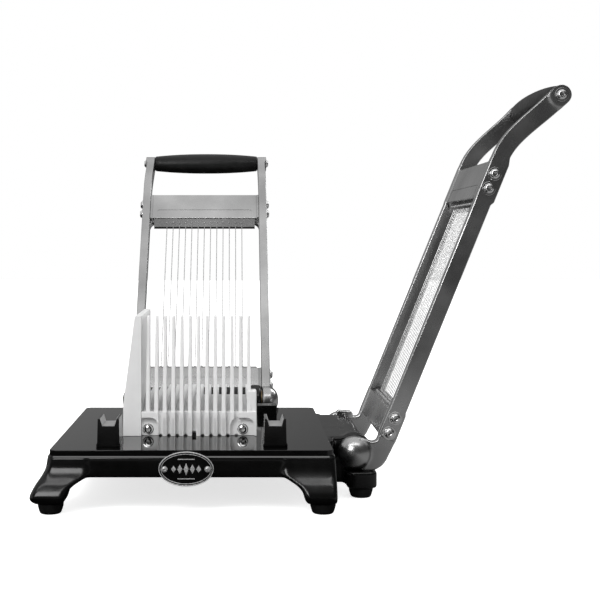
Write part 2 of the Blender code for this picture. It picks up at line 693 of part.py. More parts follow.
def wire_mesh():
    """One laced wire that runs up and down between the crossbars, a pitch further each time."""
    low = LOWER_BAR[1] + 1.2 * MM
    high = UPPER_BAR[0] - 16.2 * MM
    points = []
    for i, x in enumerate(slot_centres(0)):
        ends = (low, high) if i % 2 == 0 else (high, low)
        points.extend([(x, WIRE_OUT, ends[0]), (x, WIRE_OUT, ends[1])])
    curve = bpy.data.curves.new("wires", "CURVE")
    curve.dimensions = "3D"
    curve.bevel_depth = 0.5 * MM
    curve.bevel_resolution = 2
    curve.use_fill_caps = True
    spline = curve.splines.new("POLY")
    spline.points.add(len(points) - 1)
    for point, co in zip(spline.points, points):
        point.co = (*co, 1)
    return welded_mesh(curve, "wires", Matrix.Identity(4))


def grip_mesh():
    """A barrel grip with a bore for its rod, turned about X."""
    half = RAIL_INNER - GAP
    steps = 8
    profile = [(BOLT_HEAD_R + GAP, half)]
    for i in range(steps + 1):
        x = half - 2 * half * i / steps
        bulge = 1 - abs(x / half) ** 2.2
        profile.append((GRIP_END_R + (GRIP_R - GRIP_END_R) * bulge, x))
    profile.append((BOLT_HEAD_R + GAP, -half))
    place = Matrix.Translation((0, GRIP_AXIS[1], GRIP_AXIS[0])) @ Matrix.Rotation(math.pi / 2, 4, "Y")
    return turned_mesh("grip", profile, place)


def grip_rod_mesh():
    """The steel rod inside the grip, with a tapped hole at each end."""
    half = RAIL_INNER - GAP
    depth = 18 * MM
    bore = BOLT_R + GAP
    radius = BOLT_HEAD_R
    profile = [(0, half - depth), (bore, half - depth), (bore, half), (radius, half), (radius, -half),
               (bore, -half), (bore, depth - half), (0, depth - half)]
    place = Matrix.Translation((0, GRIP_AXIS[1], GRIP_AXIS[0])) @ Matrix.Rotation(math.pi / 2, 4, "Y")
    return turned_mesh("grip_rod", profile, place, 16)


def bolt_mesh(sign, out, along):
    seat = Vector((sign * (RAIL_INNER + RAIL_THICK + GAP), out, along))
    outward = Vector((sign, 0, 0))
    return screw_mesh("bolt", BOLT_HEAD_R, BOLT_HEAD_HEIGHT, BOLT_R, BOLT_LENGTH, seat, outward)


def frame_meshes():
    """Every mesh of one wire frame, by the name it takes after the frame's own name."""
    meshes = {
        "lower_crossbar": crossbar_mesh("lower", LOWER_BAR),
        "upper_crossbar": crossbar_mesh("upper", UPPER_BAR),
        "wires": wire_mesh(),
        "grip": grip_mesh(),
        "grip_rod": grip_rod_mesh(),
    }
    for side, sign in (("left", -1), ("right", 1)):
        meshes[f"rail_{side}"] = rail_mesh(sign)
        for name, along in bolt_places().items():
            meshes[f"bolt_{name}_{side}"] = bolt_mesh(sign, WIRE_OUT, along)
        meshes[f"grip_bolt_{side}"] = bolt_mesh(sign, GRIP_AXIS[1], GRIP_AXIS[0])
    return meshes


def frame_material(name, mats):
    if "bolt" in name or name == "grip_rod":
        return mats["steel"]
    if name == "grip":
        return mats["grip"]
    if name == "wires":
        return mats["wire"]
    return mats["aluminium"]


def place_frame(label, pivot, rotation, meshes, mats):
    empty = bpy.data.objects.new(f"{label}_frame_pivot", None)
    empty.location = pivot
    empty.rotation_euler = rotation
    PARTS.objects.link(empty)
    for name, mesh in meshes.items():
        obj = add_object(f"{label}_{name}", mesh, frame_material(name, mats))
        obj.parent = empty
        shade(obj)


def build():
    mats = {
        "enamel": make_material("black_enamel", (0.012, 0.012, 0.013), 0.12, 0.0),
        "rubber": make_material("rubber", (0.02, 0.02, 0.02), 0.8, 0.0),
        "plastic": make_material("white_plastic", (0.82, 0.82, 0.81), 0.4, 0.0),
        "aluminium": make_material("aluminium", (0.62, 0.62, 0.63), 0.3, 1.0),
        "steel": make_material("steel", (0.7, 0.7, 0.71), 0.15, 1.0),
        "wire": make_material("wire_steel", (0.75, 0.75, 0.76), 0.2, 1.0),
        "grip": make_material("grip_plastic", (0.015, 0.015, 0.016), 0.45, 0.0),
        "bronze": make_material("bush_bronze", (0.45, 0.32, 0.16), 0.35, 1.0),
    }
    make_base(mats["enamel"])
    make_feet(mats["rubber"])
    make_badge(mats["steel"], mats["steel"])
    make_posts(mats["enamel"])
    make_bed(mats["plastic"])
    make_front_comb(mats["plastic"])
    make_side_comb(mats["plastic"])
    make_comb_screws(mats["steel"])
    make_hinge("back", ("left", "right"), BACK_PIVOT, Vector((1, 0, 0)), mats["steel"], mats["bronze"])
    make_hinge("right", ("near", "far"), RIGHT_PIVOT, Vector((0, 1, 0)), mats["steel"], mats["bronze"])
    meshes = frame_meshes()
    place_frame("back", BACK_PIVOT, (-BACK_LEAN, 0, 0), meshes, mats)
    place_frame("right", RIGHT_PIVOT, (-RIGHT_LEAN, 0, -math.pi / 2), meshes, mats)


def move_to_foot_origin():
    """Shift the parts and the cutters together, so that the front left foot stands on the origin."""
    x, y = FEET["foot_front_left"]
    for obj in list(PARTS.objects) + list(CUTTERS.objects):
        if obj.parent is None:
            obj.location -= Vector((x, y, 0))


clear_scene()
PARTS = new_collection("vegetable_dicer")
CUTTERS = new_collection("cutters")
build()
move_to_foot_origin()
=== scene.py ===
"""The looks of the two-frame wire dicer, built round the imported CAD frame.

Most CAD nodes get a finer mesh in their place. The bed block, the side comb and the parts inside
the hinges and grips keep their CAD meshes. The fine meshes are in world coordinates, so
a procedural texture has the same scale on every piece.
"""

import json
import math

import bmesh
import bpy
from mathutils import Matrix, Vector


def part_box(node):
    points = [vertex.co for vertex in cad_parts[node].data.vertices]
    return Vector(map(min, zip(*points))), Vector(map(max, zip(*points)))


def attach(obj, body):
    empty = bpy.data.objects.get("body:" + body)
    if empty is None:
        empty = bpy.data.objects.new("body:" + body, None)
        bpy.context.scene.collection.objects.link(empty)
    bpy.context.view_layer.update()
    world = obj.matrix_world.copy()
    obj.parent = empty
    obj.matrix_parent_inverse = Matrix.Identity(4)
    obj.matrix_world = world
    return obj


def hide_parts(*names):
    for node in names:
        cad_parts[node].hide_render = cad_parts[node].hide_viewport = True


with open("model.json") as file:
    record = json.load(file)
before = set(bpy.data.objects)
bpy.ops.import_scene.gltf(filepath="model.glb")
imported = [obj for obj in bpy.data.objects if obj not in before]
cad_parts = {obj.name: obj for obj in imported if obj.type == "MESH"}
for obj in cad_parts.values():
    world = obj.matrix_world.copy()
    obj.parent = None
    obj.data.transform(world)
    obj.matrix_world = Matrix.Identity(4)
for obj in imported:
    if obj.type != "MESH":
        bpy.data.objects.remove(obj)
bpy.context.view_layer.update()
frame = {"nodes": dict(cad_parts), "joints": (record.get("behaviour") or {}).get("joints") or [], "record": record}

# ---- driving dimensions ----
MM = 0.001
GAP = 0.3 * MM

JOINTS = {joint["name"]: joint for joint in frame["joints"]}
BACK_PIVOT = Vector(JOINTS["back_frame_hinge"]["pos_m"])
RIGHT_PIVOT = Vector(JOINTS["right_frame_hinge"]["pos_m"])
BACK_LEAN = math.radians(34.5)
RIGHT_LEAN = math.radians(22.15)
BACK_PLACE = Matrix.Translation(BACK_PIVOT) @ Matrix.Rotation(-BACK_LEAN, 4, "X")
RIGHT_PLACE = (Matrix.Translation(RIGHT_PIVOT) @ Matrix.Rotation(-math.pi / 2, 4, "Z")
               @ Matrix.Rotation(-RIGHT_LEAN, 4, "X"))

PLATE_MID = Vector((148 * MM, 148 * MM, 0))
PLATE_HALF = 150 * MM
PLATE_TOP = 66 * MM
PLATE_CORNER = 7 * MM
LEDGE_DROP = 6.5 * MM
LEDGE_OUT = 1.6 * MM
APRON_BOTTOM = 37 * MM
APRON_WALL = 6 * MM
APRON_HALF = PLATE_HALF + LEDGE_OUT
APRON_CORNER = PLATE_CORNER + LEDGE_OUT
CAVITY_HALF = APRON_HALF - APRON_WALL
LEDGE = PLATE_TOP - LEDGE_DROP
LEG_BOTTOM = 11 * MM
FOOT_GAP = 0.4 * MM
BARREL_R = 17 * MM
BARREL_HALF = 81.5 * MM

PITCH = 9.525 * MM
WIRES = 13
RAIL_INNER = 83.3 * MM
RAIL_THICK = 12 * MM
RAIL_LOW = 17.25 * MM
RAIL_HIGH = 35.75 * MM
WIRE_OUT = 26.5 * MM
LOWER_BAR = (28.5 * MM, 59.5 * MM)
UPPER_BAR = (315.8 * MM, 360.3 * MM)
BAR_FACE = 16.8 * MM
BAR_INSET = BAR_FACE + 1.3 * MM
BAR_BACK = 37 * MM
BOSS_R = 18.5 * MM
SHAFT_R = 8 * MM
GRIP_AXIS = (456.3 * MM, 61.9 * MM)
GRIP_R = 15.2 * MM
GRIP_END_R = 10 * MM
BOLT_HEAD_R = 6.75 * MM
BOLT_HEAD_HEIGHT = 4 * MM
BOLT_SPACING = 17.5 * MM

SLOT_WIDTH = 4.8 * MM
SLOT_FLOOR = PLATE_TOP + 27.3 * MM
WALL_TOP = PLATE_TOP + 135 * MM
(COMB_LEFT, COMB_FRONT, COMB_BOTTOM), (COMB_RIGHT, COMB_REAR, _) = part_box("front_comb")
POCKET_HEIGHT = 20.8 * MM
SCREW_FLANGE = 1.15
BADGE_FIELD = 2.1 * MM
CLEAR = 10 * MM


# ---- node materials ----
class NodeBuilder:
    """Short helpers that add nodes to a material's or a world's node tree."""

    def __init__(self, tree):
        self.tree = tree
        self.coords = self.node("ShaderNodeTexCoord")

    def node(self, kind, **settings):
        made = self.tree.nodes.new(kind)
        for key, value in settings.items():
            if key in made.inputs:
                made.inputs[key].default_value = value
            else:
                setattr(made, key, value)
        return made

    def link(self, source, target):
        self.tree.links.new(source, target)

    def ranged(self, value, low, high, source_low=0.3, source_high=0.7, blend="LINEAR"):
        spread = self.node("ShaderNodeMapRange", interpolation_type=blend)
        for name, number in (("From Min", source_low), ("From Max", source_high),
                             ("To Min", low), ("To Max", high)):
            spread.inputs[name].default_value = number
        self.link(value, spread.inputs["Value"])
        return spread.outputs["Result"]

    def mixed(self, share, low, high):
        """A mix of two numbers or sockets."""
        mix = self.node("ShaderNodeMix")
        self.link(share, mix.inputs["Factor"])
        for name, value in (("A", low), ("B", high)):
            if isinstance(value, float):
                mix.inputs[name].default_value = value
            else:
                self.link(value, mix.inputs[name])
        return mix.outputs["Result"]

    def maths(self, operation, first, second):
        made = self.node("ShaderNodeMath", operation=operation)
        self.link(first, made.inputs[0])
        self.link(second, made.inputs[1])
        return made.outputs["Value"]

    def place(self, axis, space="Object"):
        """The X, Y or Z of the shaded point."""
        split = self.node("ShaderNodeSeparateXYZ")
        self.link(self.coords.outputs[space], split.inputs["Vector"])
        return split.outputs[axis]


class Shader(NodeBuilder):
    """A Principled material with helpers for its textures."""

    def __init__(self, name, colour, roughness, metallic=0.0, **inputs):
        self.mat = bpy.data.materials.new(name)
        self.mat.use_nodes = True
        super().__init__(self.mat.node_tree)
        self.bsdf = self.tree.nodes["Principled BSDF"]
        self.set("Base Color", (*grey(colour), 1.0))
        self.set("Roughness", roughness)
        self.set("Metallic", metallic)
        for key, value in inputs.items():
            self.set(key.replace("_", " "), value)

    def set(self, socket, value):
        self.bsdf.inputs[socket].default_value = value

    def noise(self, scale, stretch=(1, 1, 1), detail=3.0, rough=0.5):
        mapping = self.node("ShaderNodeMapping")
        mapping.inputs["Scale"].default_value = stretch
        self.link(self.coords.outputs["Object"], mapping.inputs["Vector"])
        texture = self.node("ShaderNodeTexNoise", Scale=scale, Detail=detail, Roughness=rough)
        self.link(mapping.outputs["Vector"], texture.inputs["Vector"])
        return texture.outputs["Fac"]

    def drive(self, socket, value):
        self.link(value, self.bsdf.inputs[socket])

    def tint(self, value, dark, light):
        mix = self.node("ShaderNodeMix", data_type="RGBA")
        colours = [socket for socket in mix.inputs if socket.type == "RGBA"]
        colours[0].default_value = (*grey(dark), 1.0)
        colours[1].default_value = (*grey(light), 1.0)
        self.link(value, mix.inputs[0])
        self.link([socket for socket in mix.outputs if socket.type == "RGBA"][0],
                  self.bsdf.inputs["Base Color"])

    def vary_roughness(self, low, high, scale, **settings):
        self.drive("Roughness", self.ranged(self.noise(scale, **settings), low, high))

    def vary_colour(self, dark, light, scale, **settings):
        self.tint(self.ranged(self.noise(scale, **settings), 0, 1), dark, light)

    def bump(self, layers):
        """Bump maps one after the other; layers is a list of (value, distance)."""
        normal = None
        for value, distance in layers:
            made = self.node("ShaderNodeBump")
            made.inputs["Distance"].default_value = distance
            self.link(value, made.inputs["Height"])
            if normal is not None:
                self.link(normal, made.inputs["Normal"])
            normal = made.outputs["Normal"]
        self.link(normal, self.bsdf.inputs["Normal"])


def grey(colour):
    return colour if isinstance(colour, tuple) else (colour, colour, colour)


def enamel_material(name, smooth, rough, ripple):
    """Black enamel: a mirror on the flat top, softer on the cast body."""
    shader = Shader(name, 0.0025, smooth)
    shader.set("Specular IOR Level", 0.4)
    shader.vary_roughness(smooth, rough, 60, detail=4)
    shader.vary_colour(0.0018, 0.0032, 30)
    shader.bump([(shader.noise(260, detail=1), ripple)])
    return shader.mat


def aluminium_material():
    shader = Shader("aluminium", 0.55, 0.25, 1.0)
    grain = shader.noise(900, (1, 1, 0.1), detail=4, rough=0.6)
    shader.vary_roughness(0.2, 0.32, 22, detail=4)
    shader.vary_colour(0.4, 0.62, 14, detail=5)
    shader.bump([(grain, 0.000003), (shader.noise(50, detail=2), 0.00004)])
    return shader.mat


def steel_material():
    shader = Shader("bright_steel", 0.72, 0.12, 1.0)
    shader.vary_roughness(0.08, 0.2, 300)
    shader.vary_colour(0.66, 0.76, 120)
    return shader.mat


def badge_material():
    shader = Shader("badge_metal", 0.7, 0.25, 0.55)
    shader.vary_roughness(0.18, 0.34, 400)
    shader.vary_colour(0.6, 0.76, 200)
    return shader.mat


def wire_material():
    shader = Shader("wire_steel", 0.55, 0.3, 0.7)
    shader.vary_colour(0.48, 0.62, 500, stretch=(1, 1, 0.1))
    shader.vary_roughness(0.22, 0.36, 300)
    return shader.mat


def plastic_material():
    shader = Shader("white_plastic", 0.86, 0.38, Subsurface_Weight=0.15)
    shader.set("Subsurface Radius", (0.002, 0.002, 0.002))
    shader.vary_colour(0.8, 0.85, 35)
    shader.vary_roughness(0.32, 0.46, 180)
    shader.bump([(shader.noise(700, detail=2), 0.00002)])
    return shader.mat


def rubber_material():
    shader = Shader("foot_rubber", 0.006, 0.7)
    shader.set("Specular IOR Level", 0.25)
    shader.vary_colour(0.003, 0.008, 160)
    shader.bump([(shader.noise(900, detail=4), 0.00008)])
    return shader.mat


def saddle_material():
    shader = Shader("saddle_nylon", 0.32, 0.3)
    shader.vary_colour(0.27, 0.36, 70)
    shader.bump([(shader.noise(800, detail=2), 0.00003)])
    return shader.mat


def grip_material():
    shader = Shader("grip_plastic", 0.006, 0.38)
    shader.set("Specular IOR Level", 0.35)
    shader.vary_colour(0.004, 0.009, 90)
    shader.vary_roughness(0.3, 0.44, 220)
    shader.bump([(shader.noise(1500, detail=2), 0.00005)])
    return shader.mat


def bronze_material():
    shader = Shader("bush_bronze", (0.2, 0.15, 0.09), 0.35, 1.0)
    shader.vary_roughness(0.28, 0.45, 300)
    return shader.mat


MATS = {
    "black_enamel": enamel_material("black_enamel", 0.02, 0.06, 0.006 * MM),
    "cast_enamel": enamel_material("cast_enamel", 0.13, 0.22, 0.02 * MM),
    "rubber": rubber_material(),
    "white_plastic": plastic_material(),
    "aluminium": aluminium_material(),
    "steel": steel_material(),
    "wire_steel": wire_material(),
    "grip_plastic": grip_material(),
    "bush_bronze": bronze_material(),
    "saddle": saddle_material(),
    "badge": badge_material(),
}


# ---- mesh tools ----
def set_material(obj, mat):
    if not obj.material_slots:
        obj.data.materials.append(mat)
    for slot in obj.material_slots:
        slot.material = mat


def finish_bmesh(bm, name):
    bmesh.ops.recalc_face_normals(bm, faces=bm.faces)
    mesh = bpy.data.meshes.new(name)
    bm.to_mesh(mesh)
    bm.free()
    return mesh


def even_shading(obj):
    """Keeps big flat faces flat where they meet small rounded edges."""
    normals = obj.modifiers.new("normals", "WEIGHTED_NORMAL")
    normals.keep_sharp = True


def make_piece(name, mesh, body, slot, nodes=(), angle=32, place=None, finish=None):
    """A visible piece, which rides on a body and can stand for CAD nodes.

    Its material is its slot's, or the one that finish names. angle is the sharpest smooth edge.
    """
    obj = bpy.data.objects.new(name, mesh)
    bpy.context.scene.collection.objects.link(obj)
    if place is not None:
        mesh.transform(place)
    mesh.materials.clear()
    mesh.materials.append(MATS[finish or slot])
    mesh.shade_smooth()
    mesh.set_sharp_from_angle(angle=math.radians(angle))
    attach(obj, body)
    if nodes:
        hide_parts(*nodes)
    even_shading(obj)
    return obj


def evaluated(obj):
    """The evaluated mesh of an object, after which the object is removed."""
    bpy.context.view_layer.update()
    depsgraph = bpy.context.evaluated_depsgraph_get()
    mesh = bpy.data.meshes.new_from_object(obj.evaluated_get(depsgraph))
    bpy.data.objects.remove(obj, do_unlink=True)
    return mesh


def loose(mesh):
    obj = bpy.data.objects.new(mesh.name, mesh)
    bpy.context.scene.collection.objects.link(obj)
    return obj


def welded(curve, distance):
    """A curve's mesh, with its caps welded on."""
    bm = bmesh.new()
    bm.from_mesh(evaluated(loose(curve)))
    bmesh.ops.remove_doubles(bm, verts=bm.verts, dist=distance)
    return finish_bmesh(bm, curve.name)


def boolean(mesh, tools, operation="DIFFERENCE"):
    obj = loose(mesh)
    others = []
    for tool in tools:
        other = loose(tool)
        others.append(other)
        modifier = obj.modifiers.new("cut", "BOOLEAN")
        modifier.operation = operation
        modifier.solver = "EXACT"
        modifier.object = other
    result = evaluated(obj)
    for other in others:
        bpy.data.objects.remove(other, do_unlink=True)
    return result


def joined(meshes, name):
    bm = bmesh.new()
    for mesh in meshes:
        bm.from_mesh(mesh)
    result = bpy.data.meshes.new(name)
    bm.to_mesh(result)
    bm.free()
    return result


def arc(centre, radius, start, end, steps):
    points = []
    for i in range(steps + 1):
        angle = math.radians(start + (end - start) * i / steps)
        points.append((centre[0] + radius * math.cos(angle), centre[1] + radius * math.sin(angle)))
    return points


def round_rect(half_a, half_b, radius, steps=6, centre=(0.0, 0.0)):
    points = []
    for start, sign_a, sign_b in ((0, 1, 1), (90, -1, 1), (180, -1, -1), (270, 1, -1)):
        corner = (centre[0] + sign_a * (half_a - radius), centre[1] + sign_b * (half_b - radius))
        points.extend(arc(corner, radius, start, start + 90, steps))
    return points


def plate_mesh(name, outline, thickness, bevel, matrix):
    """A flat outline with a thickness and rounded edges, centred on its own plane."""
    curve = bpy.data.curves.new(name, "CURVE")
    curve.dimensions = "2D"
    curve.fill_mode = "BOTH"
    curve.extrude = thickness / 2 - bevel
    curve.bevel_depth = bevel
    curve.bevel_resolution = 2
    curve.offset = -bevel
    spline = curve.splines.new("POLY")
    spline.points.add(len(outline) - 1)
    for point, (a, b) in zip(spline.points, outline):
        point.co = (a, b, 0, 1)
    spline.use_cyclic_u = True
    mesh = welded(curve, 0.002 * MM)
    mesh.transform(matrix)
    return mesh


def loft_mesh(name, rings, matrix=None, closed=False):
    """Rings with the same number of points each, joined in order and capped at both ends."""
    bm = bmesh.new()
    loops = [[bm.verts.new(point) for point in ring] for ring in rings]
    pairs = list(zip(loops, loops[1:]))
    if closed:
        pairs.append((loops[-1], loops[0]))
    for first, second in pairs:
        for i in range(len(first)):
            j = (i + 1) % len(first)
            bm.faces.new((first[i], first[j], second[j], second[i]))
    if not closed:
        bm.faces.new(loops[0])
        bm.faces.new(loops[-1])
    if matrix is not None:
        bmesh.ops.transform(bm, matrix=matrix, verts=bm.verts)
    return finish_bmesh(bm, name)


def turned_mesh(name, profile, matrix, sides=40, closed=False):
    """A profile of (radius, height) points turned about Z."""
    rings = []
    for radius, height in profile:
        ring = []
        for i in range(sides):
            angle = 2 * math.pi * i / sides
            ring.append((radius * math.cos(angle), radius * math.sin(angle), height))
        rings.append(ring)
    return loft_mesh(name, rings, matrix, closed)


def box_mesh(name, low, high, bevel=0.0):
    bm = bmesh.new()
    bmesh.ops.create_cube(bm, size=1.0)
    low = Vector(low)
    high = Vector(high)
    bmesh.ops.scale(bm, vec=high - low, verts=bm.verts)
    bmesh.ops.translate(bm, vec=(low + high) / 2, verts=bm.verts)
    if bevel:
        bmesh.ops.bevel(bm, geom=bm.edges[:], offset=bevel, segments=2, profile=0.5, affect="EDGES")
    return finish_bmesh(bm, name)


def middle_of(node):
    """The middle of a CAD node's box."""
    low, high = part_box(node)
    return [(low[i] + high[i]) / 2 for i in range(3)]


def facing(direction):
    """The turn that takes +Z to a direction."""
    return Vector(direction).to_track_quat("Z", "Y").to_matrix().to_4x4()


# ---- base casting ----
def smooth_value(stations, height):
    """A Catmull-Rom curve through (height, value) stations, which are in millimetres."""
    level = height / MM
    points = [stations[0]] + list(stations) + [stations[-1]]
    last = len(stations) - 2
    i = 0
    while i < last and level > stations[i + 1][0]:
        i += 1
    low, high = stations[i], stations[i + 1]
    share = min(1.0, max(0.0, (level - low[0]) / (high[0] - low[0])))
    before, after = points[i][1], points[i + 3][1]
    a = 2 * low[1]
    b = high[1] - before
    c = 2 * before - 5 * low[1] + 4 * high[1] - after
    d = 3 * low[1] - before - 3 * high[1] + after
    return 0.5 * (a + b * share + c * share ** 2 + d * share ** 3) * MM


# The height and the distance from the plate's middle of a leg's faces, in millimetres.
LEG_OUTER = ((11, 162), (15, 167), (20, 168), (31, 163), (40, 157), (48, 153.4), (60, 152))
LEG_INNER = ((11, 134), (16, 131), (24, 128.6), (30, 123), (35.5, 114), (40, 106), (60, 104))


def leg_mesh(sign_x, sign_y, splay_x, splay_y):
    """A cabriole corner leg: a loft of rounded squares, splayed on its free sides."""
    straight_in = 12 * MM
    straight_out = 153 * MM
    levels = 26
    bottom = LEG_BOTTOM + FOOT_GAP
    rise = LEDGE - MM - LEG_BOTTOM
    rings = []
    for i in range(levels + 1):
        height = bottom + rise * i / levels
        spans = []
        for splay in (splay_x, splay_y):
            outer = smooth_value(LEG_OUTER, height)
            inner = smooth_value(LEG_INNER, height)
            if not splay:
                outer = min(outer, straight_out)
                inner -= straight_in
            spans.append((inner, outer))
        half_x = (spans[0][1] - spans[0][0]) / 2
        half_y = (spans[1][1] - spans[1][0]) / 2
        centre = ((spans[0][0] + spans[0][1]) / 2, (spans[1][0] + spans[1][1]) / 2)
        corner = 0.3 * min(half_x, half_y)
        outline = round_rect(half_x, half_y, corner, 5, centre)
        rings.append([(PLATE_MID.x + sign_x * x, PLATE_MID.y + sign_y * y, height)
                      for x, y in outline])
    return loft_mesh("leg", rings)


def tab_meshes(pivot, along):
    """A hinge tab: its web, its shoulder at the plate, and its barrel with a collar at one end."""
    across = Vector((1, 0, 0)) if along.y else Vector((0, 1, 0))
    middle = pivot.dot(along)
    reach = pivot.dot(across)
    edge = PLATE_MID.dot(across) + PLATE_HALF

    def block(low_across, low_along, low_z, high_across, high_along, high_z, bevel):
        low = across * low_across + along * low_along + Vector((0, 0, low_z))
        high = across * high_across + along * high_along + Vector((0, 0, high_z))
        return box_mesh("tab", low, high, bevel)

    web = block(edge - APRON_WALL, middle - BARREL_HALF, APRON_BOTTOM,
                reach, middle + BARREL_HALF, PLATE_TOP - 0.4 * MM, MM)
    shoulder_out = 6.5 * MM
    shoulder_start = middle - BARREL_HALF - 14 * MM
    shoulder_end = middle + BARREL_HALF + 12 * MM
    shoulder = block(edge - APRON_WALL, shoulder_start, APRON_BOTTOM + MM,
                     edge + shoulder_out, shoulder_end, PLATE_TOP - 0.6 * MM, 3 * MM)
    edge_round = 2 * MM
    profile = [(BARREL_R - edge_round, BARREL_HALF), (BARREL_R, BARREL_HALF - edge_round),
               (BARREL_R, edge_round - BARREL_HALF), (BARREL_R - edge_round, -BARREL_HALF)]
    barrel = turned_mesh("barrel", profile, Matrix.Translation(pivot) @ facing(along), 48)
    collar_r = 20.5 * MM
    collar_start = BARREL_HALF - 13 * MM
    profile = [(collar_r - edge_round, BARREL_HALF), (collar_r, BARREL_HALF - edge_round),
               (collar_r, collar_start), (BARREL_R - MM, collar_start - 5 * MM)]
    side = -1 if along.y else 1
    collar = turned_mesh("collar", profile, Matrix.Translation(pivot) @ facing(side * along), 48)
    return [web, shoulder, barrel, collar]


def pad_meshes(foot, strut_low, strut_high):
    """The round pad over a tab's foot, and the strut that ties it to the web."""
    half = 17 * MM
    top = 30 * MM
    outline = round_rect(half, half, 9 * MM, 6, middle_of(foot)[:2])
    rings = [[(x, y, z) for x, y in outline] for z in (LEG_BOTTOM + FOOT_GAP, top)]
    return [loft_mesh("pad", rings), box_mesh("strut", strut_low, strut_high)]


def cast_mesh(meshes, voxel, rounds):
    """Overlapping solids grown into one body with soft fillets, as a sand casting has."""
    obj = loose(joined(meshes, "casting"))
    remesh = obj.modifiers.new("remesh", "REMESH")
    remesh.mode = "VOXEL"
    remesh.voxel_size = voxel
    smooth = obj.modifiers.new("smooth", "SMOOTH")
    smooth.factor = 0.5
    smooth.iterations = rounds
    return evaluated(obj)


def square_ring(half, corner, height):
    """A rounded square round the plate's middle, at one height."""
    outline = round_rect(half, half, corner, 8, (PLATE_MID.x, PLATE_MID.y))
    return [(x, y, height) for x, y in outline]


def make_casting():
    """The apron, legs, hinge tabs and pads, grown into one casting."""
    rings = [square_ring(APRON_HALF, APRON_CORNER, APRON_BOTTOM),
             square_ring(APRON_HALF, APRON_CORNER, LEDGE),
             square_ring(CAVITY_HALF, PLATE_CORNER, LEDGE),
             square_ring(CAVITY_HALF, PLATE_CORNER, APRON_BOTTOM)]
    meshes = [loft_mesh("apron", rings, closed=True)]
    for sign_x, sign_y in ((-1, -1), (1, -1), (-1, 1), (1, 1)):
        meshes.append(leg_mesh(sign_x, sign_y, sign_x < 0, sign_y < 0))
    meshes += tab_meshes(RIGHT_PIVOT, Vector((0, 1, 0)))
    meshes += tab_meshes(BACK_PIVOT, Vector((1, 0, 0)))
    low = LEG_BOTTOM + 3 * MM
    edge = PLATE_MID.x + PLATE_HALF
    reach = edge + 40 * MM
    meshes += pad_meshes("foot_right_tab", (edge, 80 * MM, low), (reach, 98 * MM, 45 * MM))
    meshes += pad_meshes("foot_back_tab", (67 * MM, edge, low), (98 * MM, reach, 60 * MM))
    casting = cast_mesh(meshes, 1.4 * MM, 14)
    make_piece("base_casting_body", casting, "base", "black_enamel", ["base_casting"], angle=60,
               finish="cast_enamel")


def make_base_top():
    """The smooth plate top, and the rim that closes the ledge round it."""
    top_low = PLATE_TOP - 12 * MM
    outline = round_rect(PLATE_HALF, PLATE_HALF, PLATE_CORNER, 10, (PLATE_MID.x, PLATE_MID.y))
    place = Matrix.Translation((0, 0, (top_low + PLATE_TOP) / 2))
    top = plate_mesh("base_top", outline, PLATE_TOP - top_low, 0.7 * MM, place)
    lip = APRON_HALF + 0.4 * MM
    chamfer = 0.9 * MM
    rim_low = LEDGE - 1.2 * MM
    rim_top = LEDGE + 0.5 * MM
    rings = [square_ring(lip, APRON_CORNER, rim_low),
             square_ring(lip, APRON_CORNER, LEDGE - chamfer),
             square_ring(lip - chamfer, APRON_CORNER - chamfer, rim_top),
             square_ring(CAVITY_HALF, PLATE_CORNER, rim_top),
             square_ring(CAVITY_HALF, PLATE_CORNER, rim_low)]
    rim = loft_mesh("rim", rings, closed=True)
    make_piece("base_top", joined([top, rim], "base_top"), "base", "black_enamel")


# ---- combs, posts, feet and badge ----
def slot_places():
    """The X of the slots' centres, from the corner slot on the left to the last on the right."""
    first = COMB_LEFT + SLOT_WIDTH / 2 - 0.1 * MM
    return [first + i * PITCH for i in range(WIRES)]


def fin_mesh(left, right):
    """A fin that tapers towards its top, with a round nose that leans back above the base."""
    low_front = COMB_FRONT
    high_front = COMB_FRONT + 12 * MM
    knee = PLATE_TOP + 20 * MM
    nose = 0.7 * MM
    tip = 0.8 * MM
    middle = (left + right) / 2
    rings = []
    for height, front, taper in ((COMB_BOTTOM, low_front, 0), (knee, low_front, 0),
                                 (SLOT_FLOOR, low_front + tip, 0),
                                 (WALL_TOP - tip, high_front, 0.72 * MM),
                                 (WALL_TOP, high_front + tip, 1.2 * MM)):
        half = (right - left) / 2 - taper
        outline = [(middle + half, COMB_REAR), (middle - half, COMB_REAR)]
        outline += arc((middle - half + nose, front + nose), nose, 180, 270, 3)
        outline += arc((middle + half - nose, front + nose), nose, 270, 360, 3)
        rings.append([(x, y, height) for x, y in outline])
    return loft_mesh("fin", rings)


def pocket_mesh(low, high):
    """A cutter for a screw pocket, with round top corners. It runs down past the comb."""
    below = 30 * MM
    depth = 5 * MM
    outline = round_rect((high - low) / 2, POCKET_HEIGHT + below, 9 * MM, 8,
                         ((low + high) / 2, PLATE_TOP - below))
    rings = [[(x, y, z) for x, z in outline] for y in (COMB_FRONT - CLEAR, COMB_FRONT + depth)]
    return loft_mesh("pocket", rings)


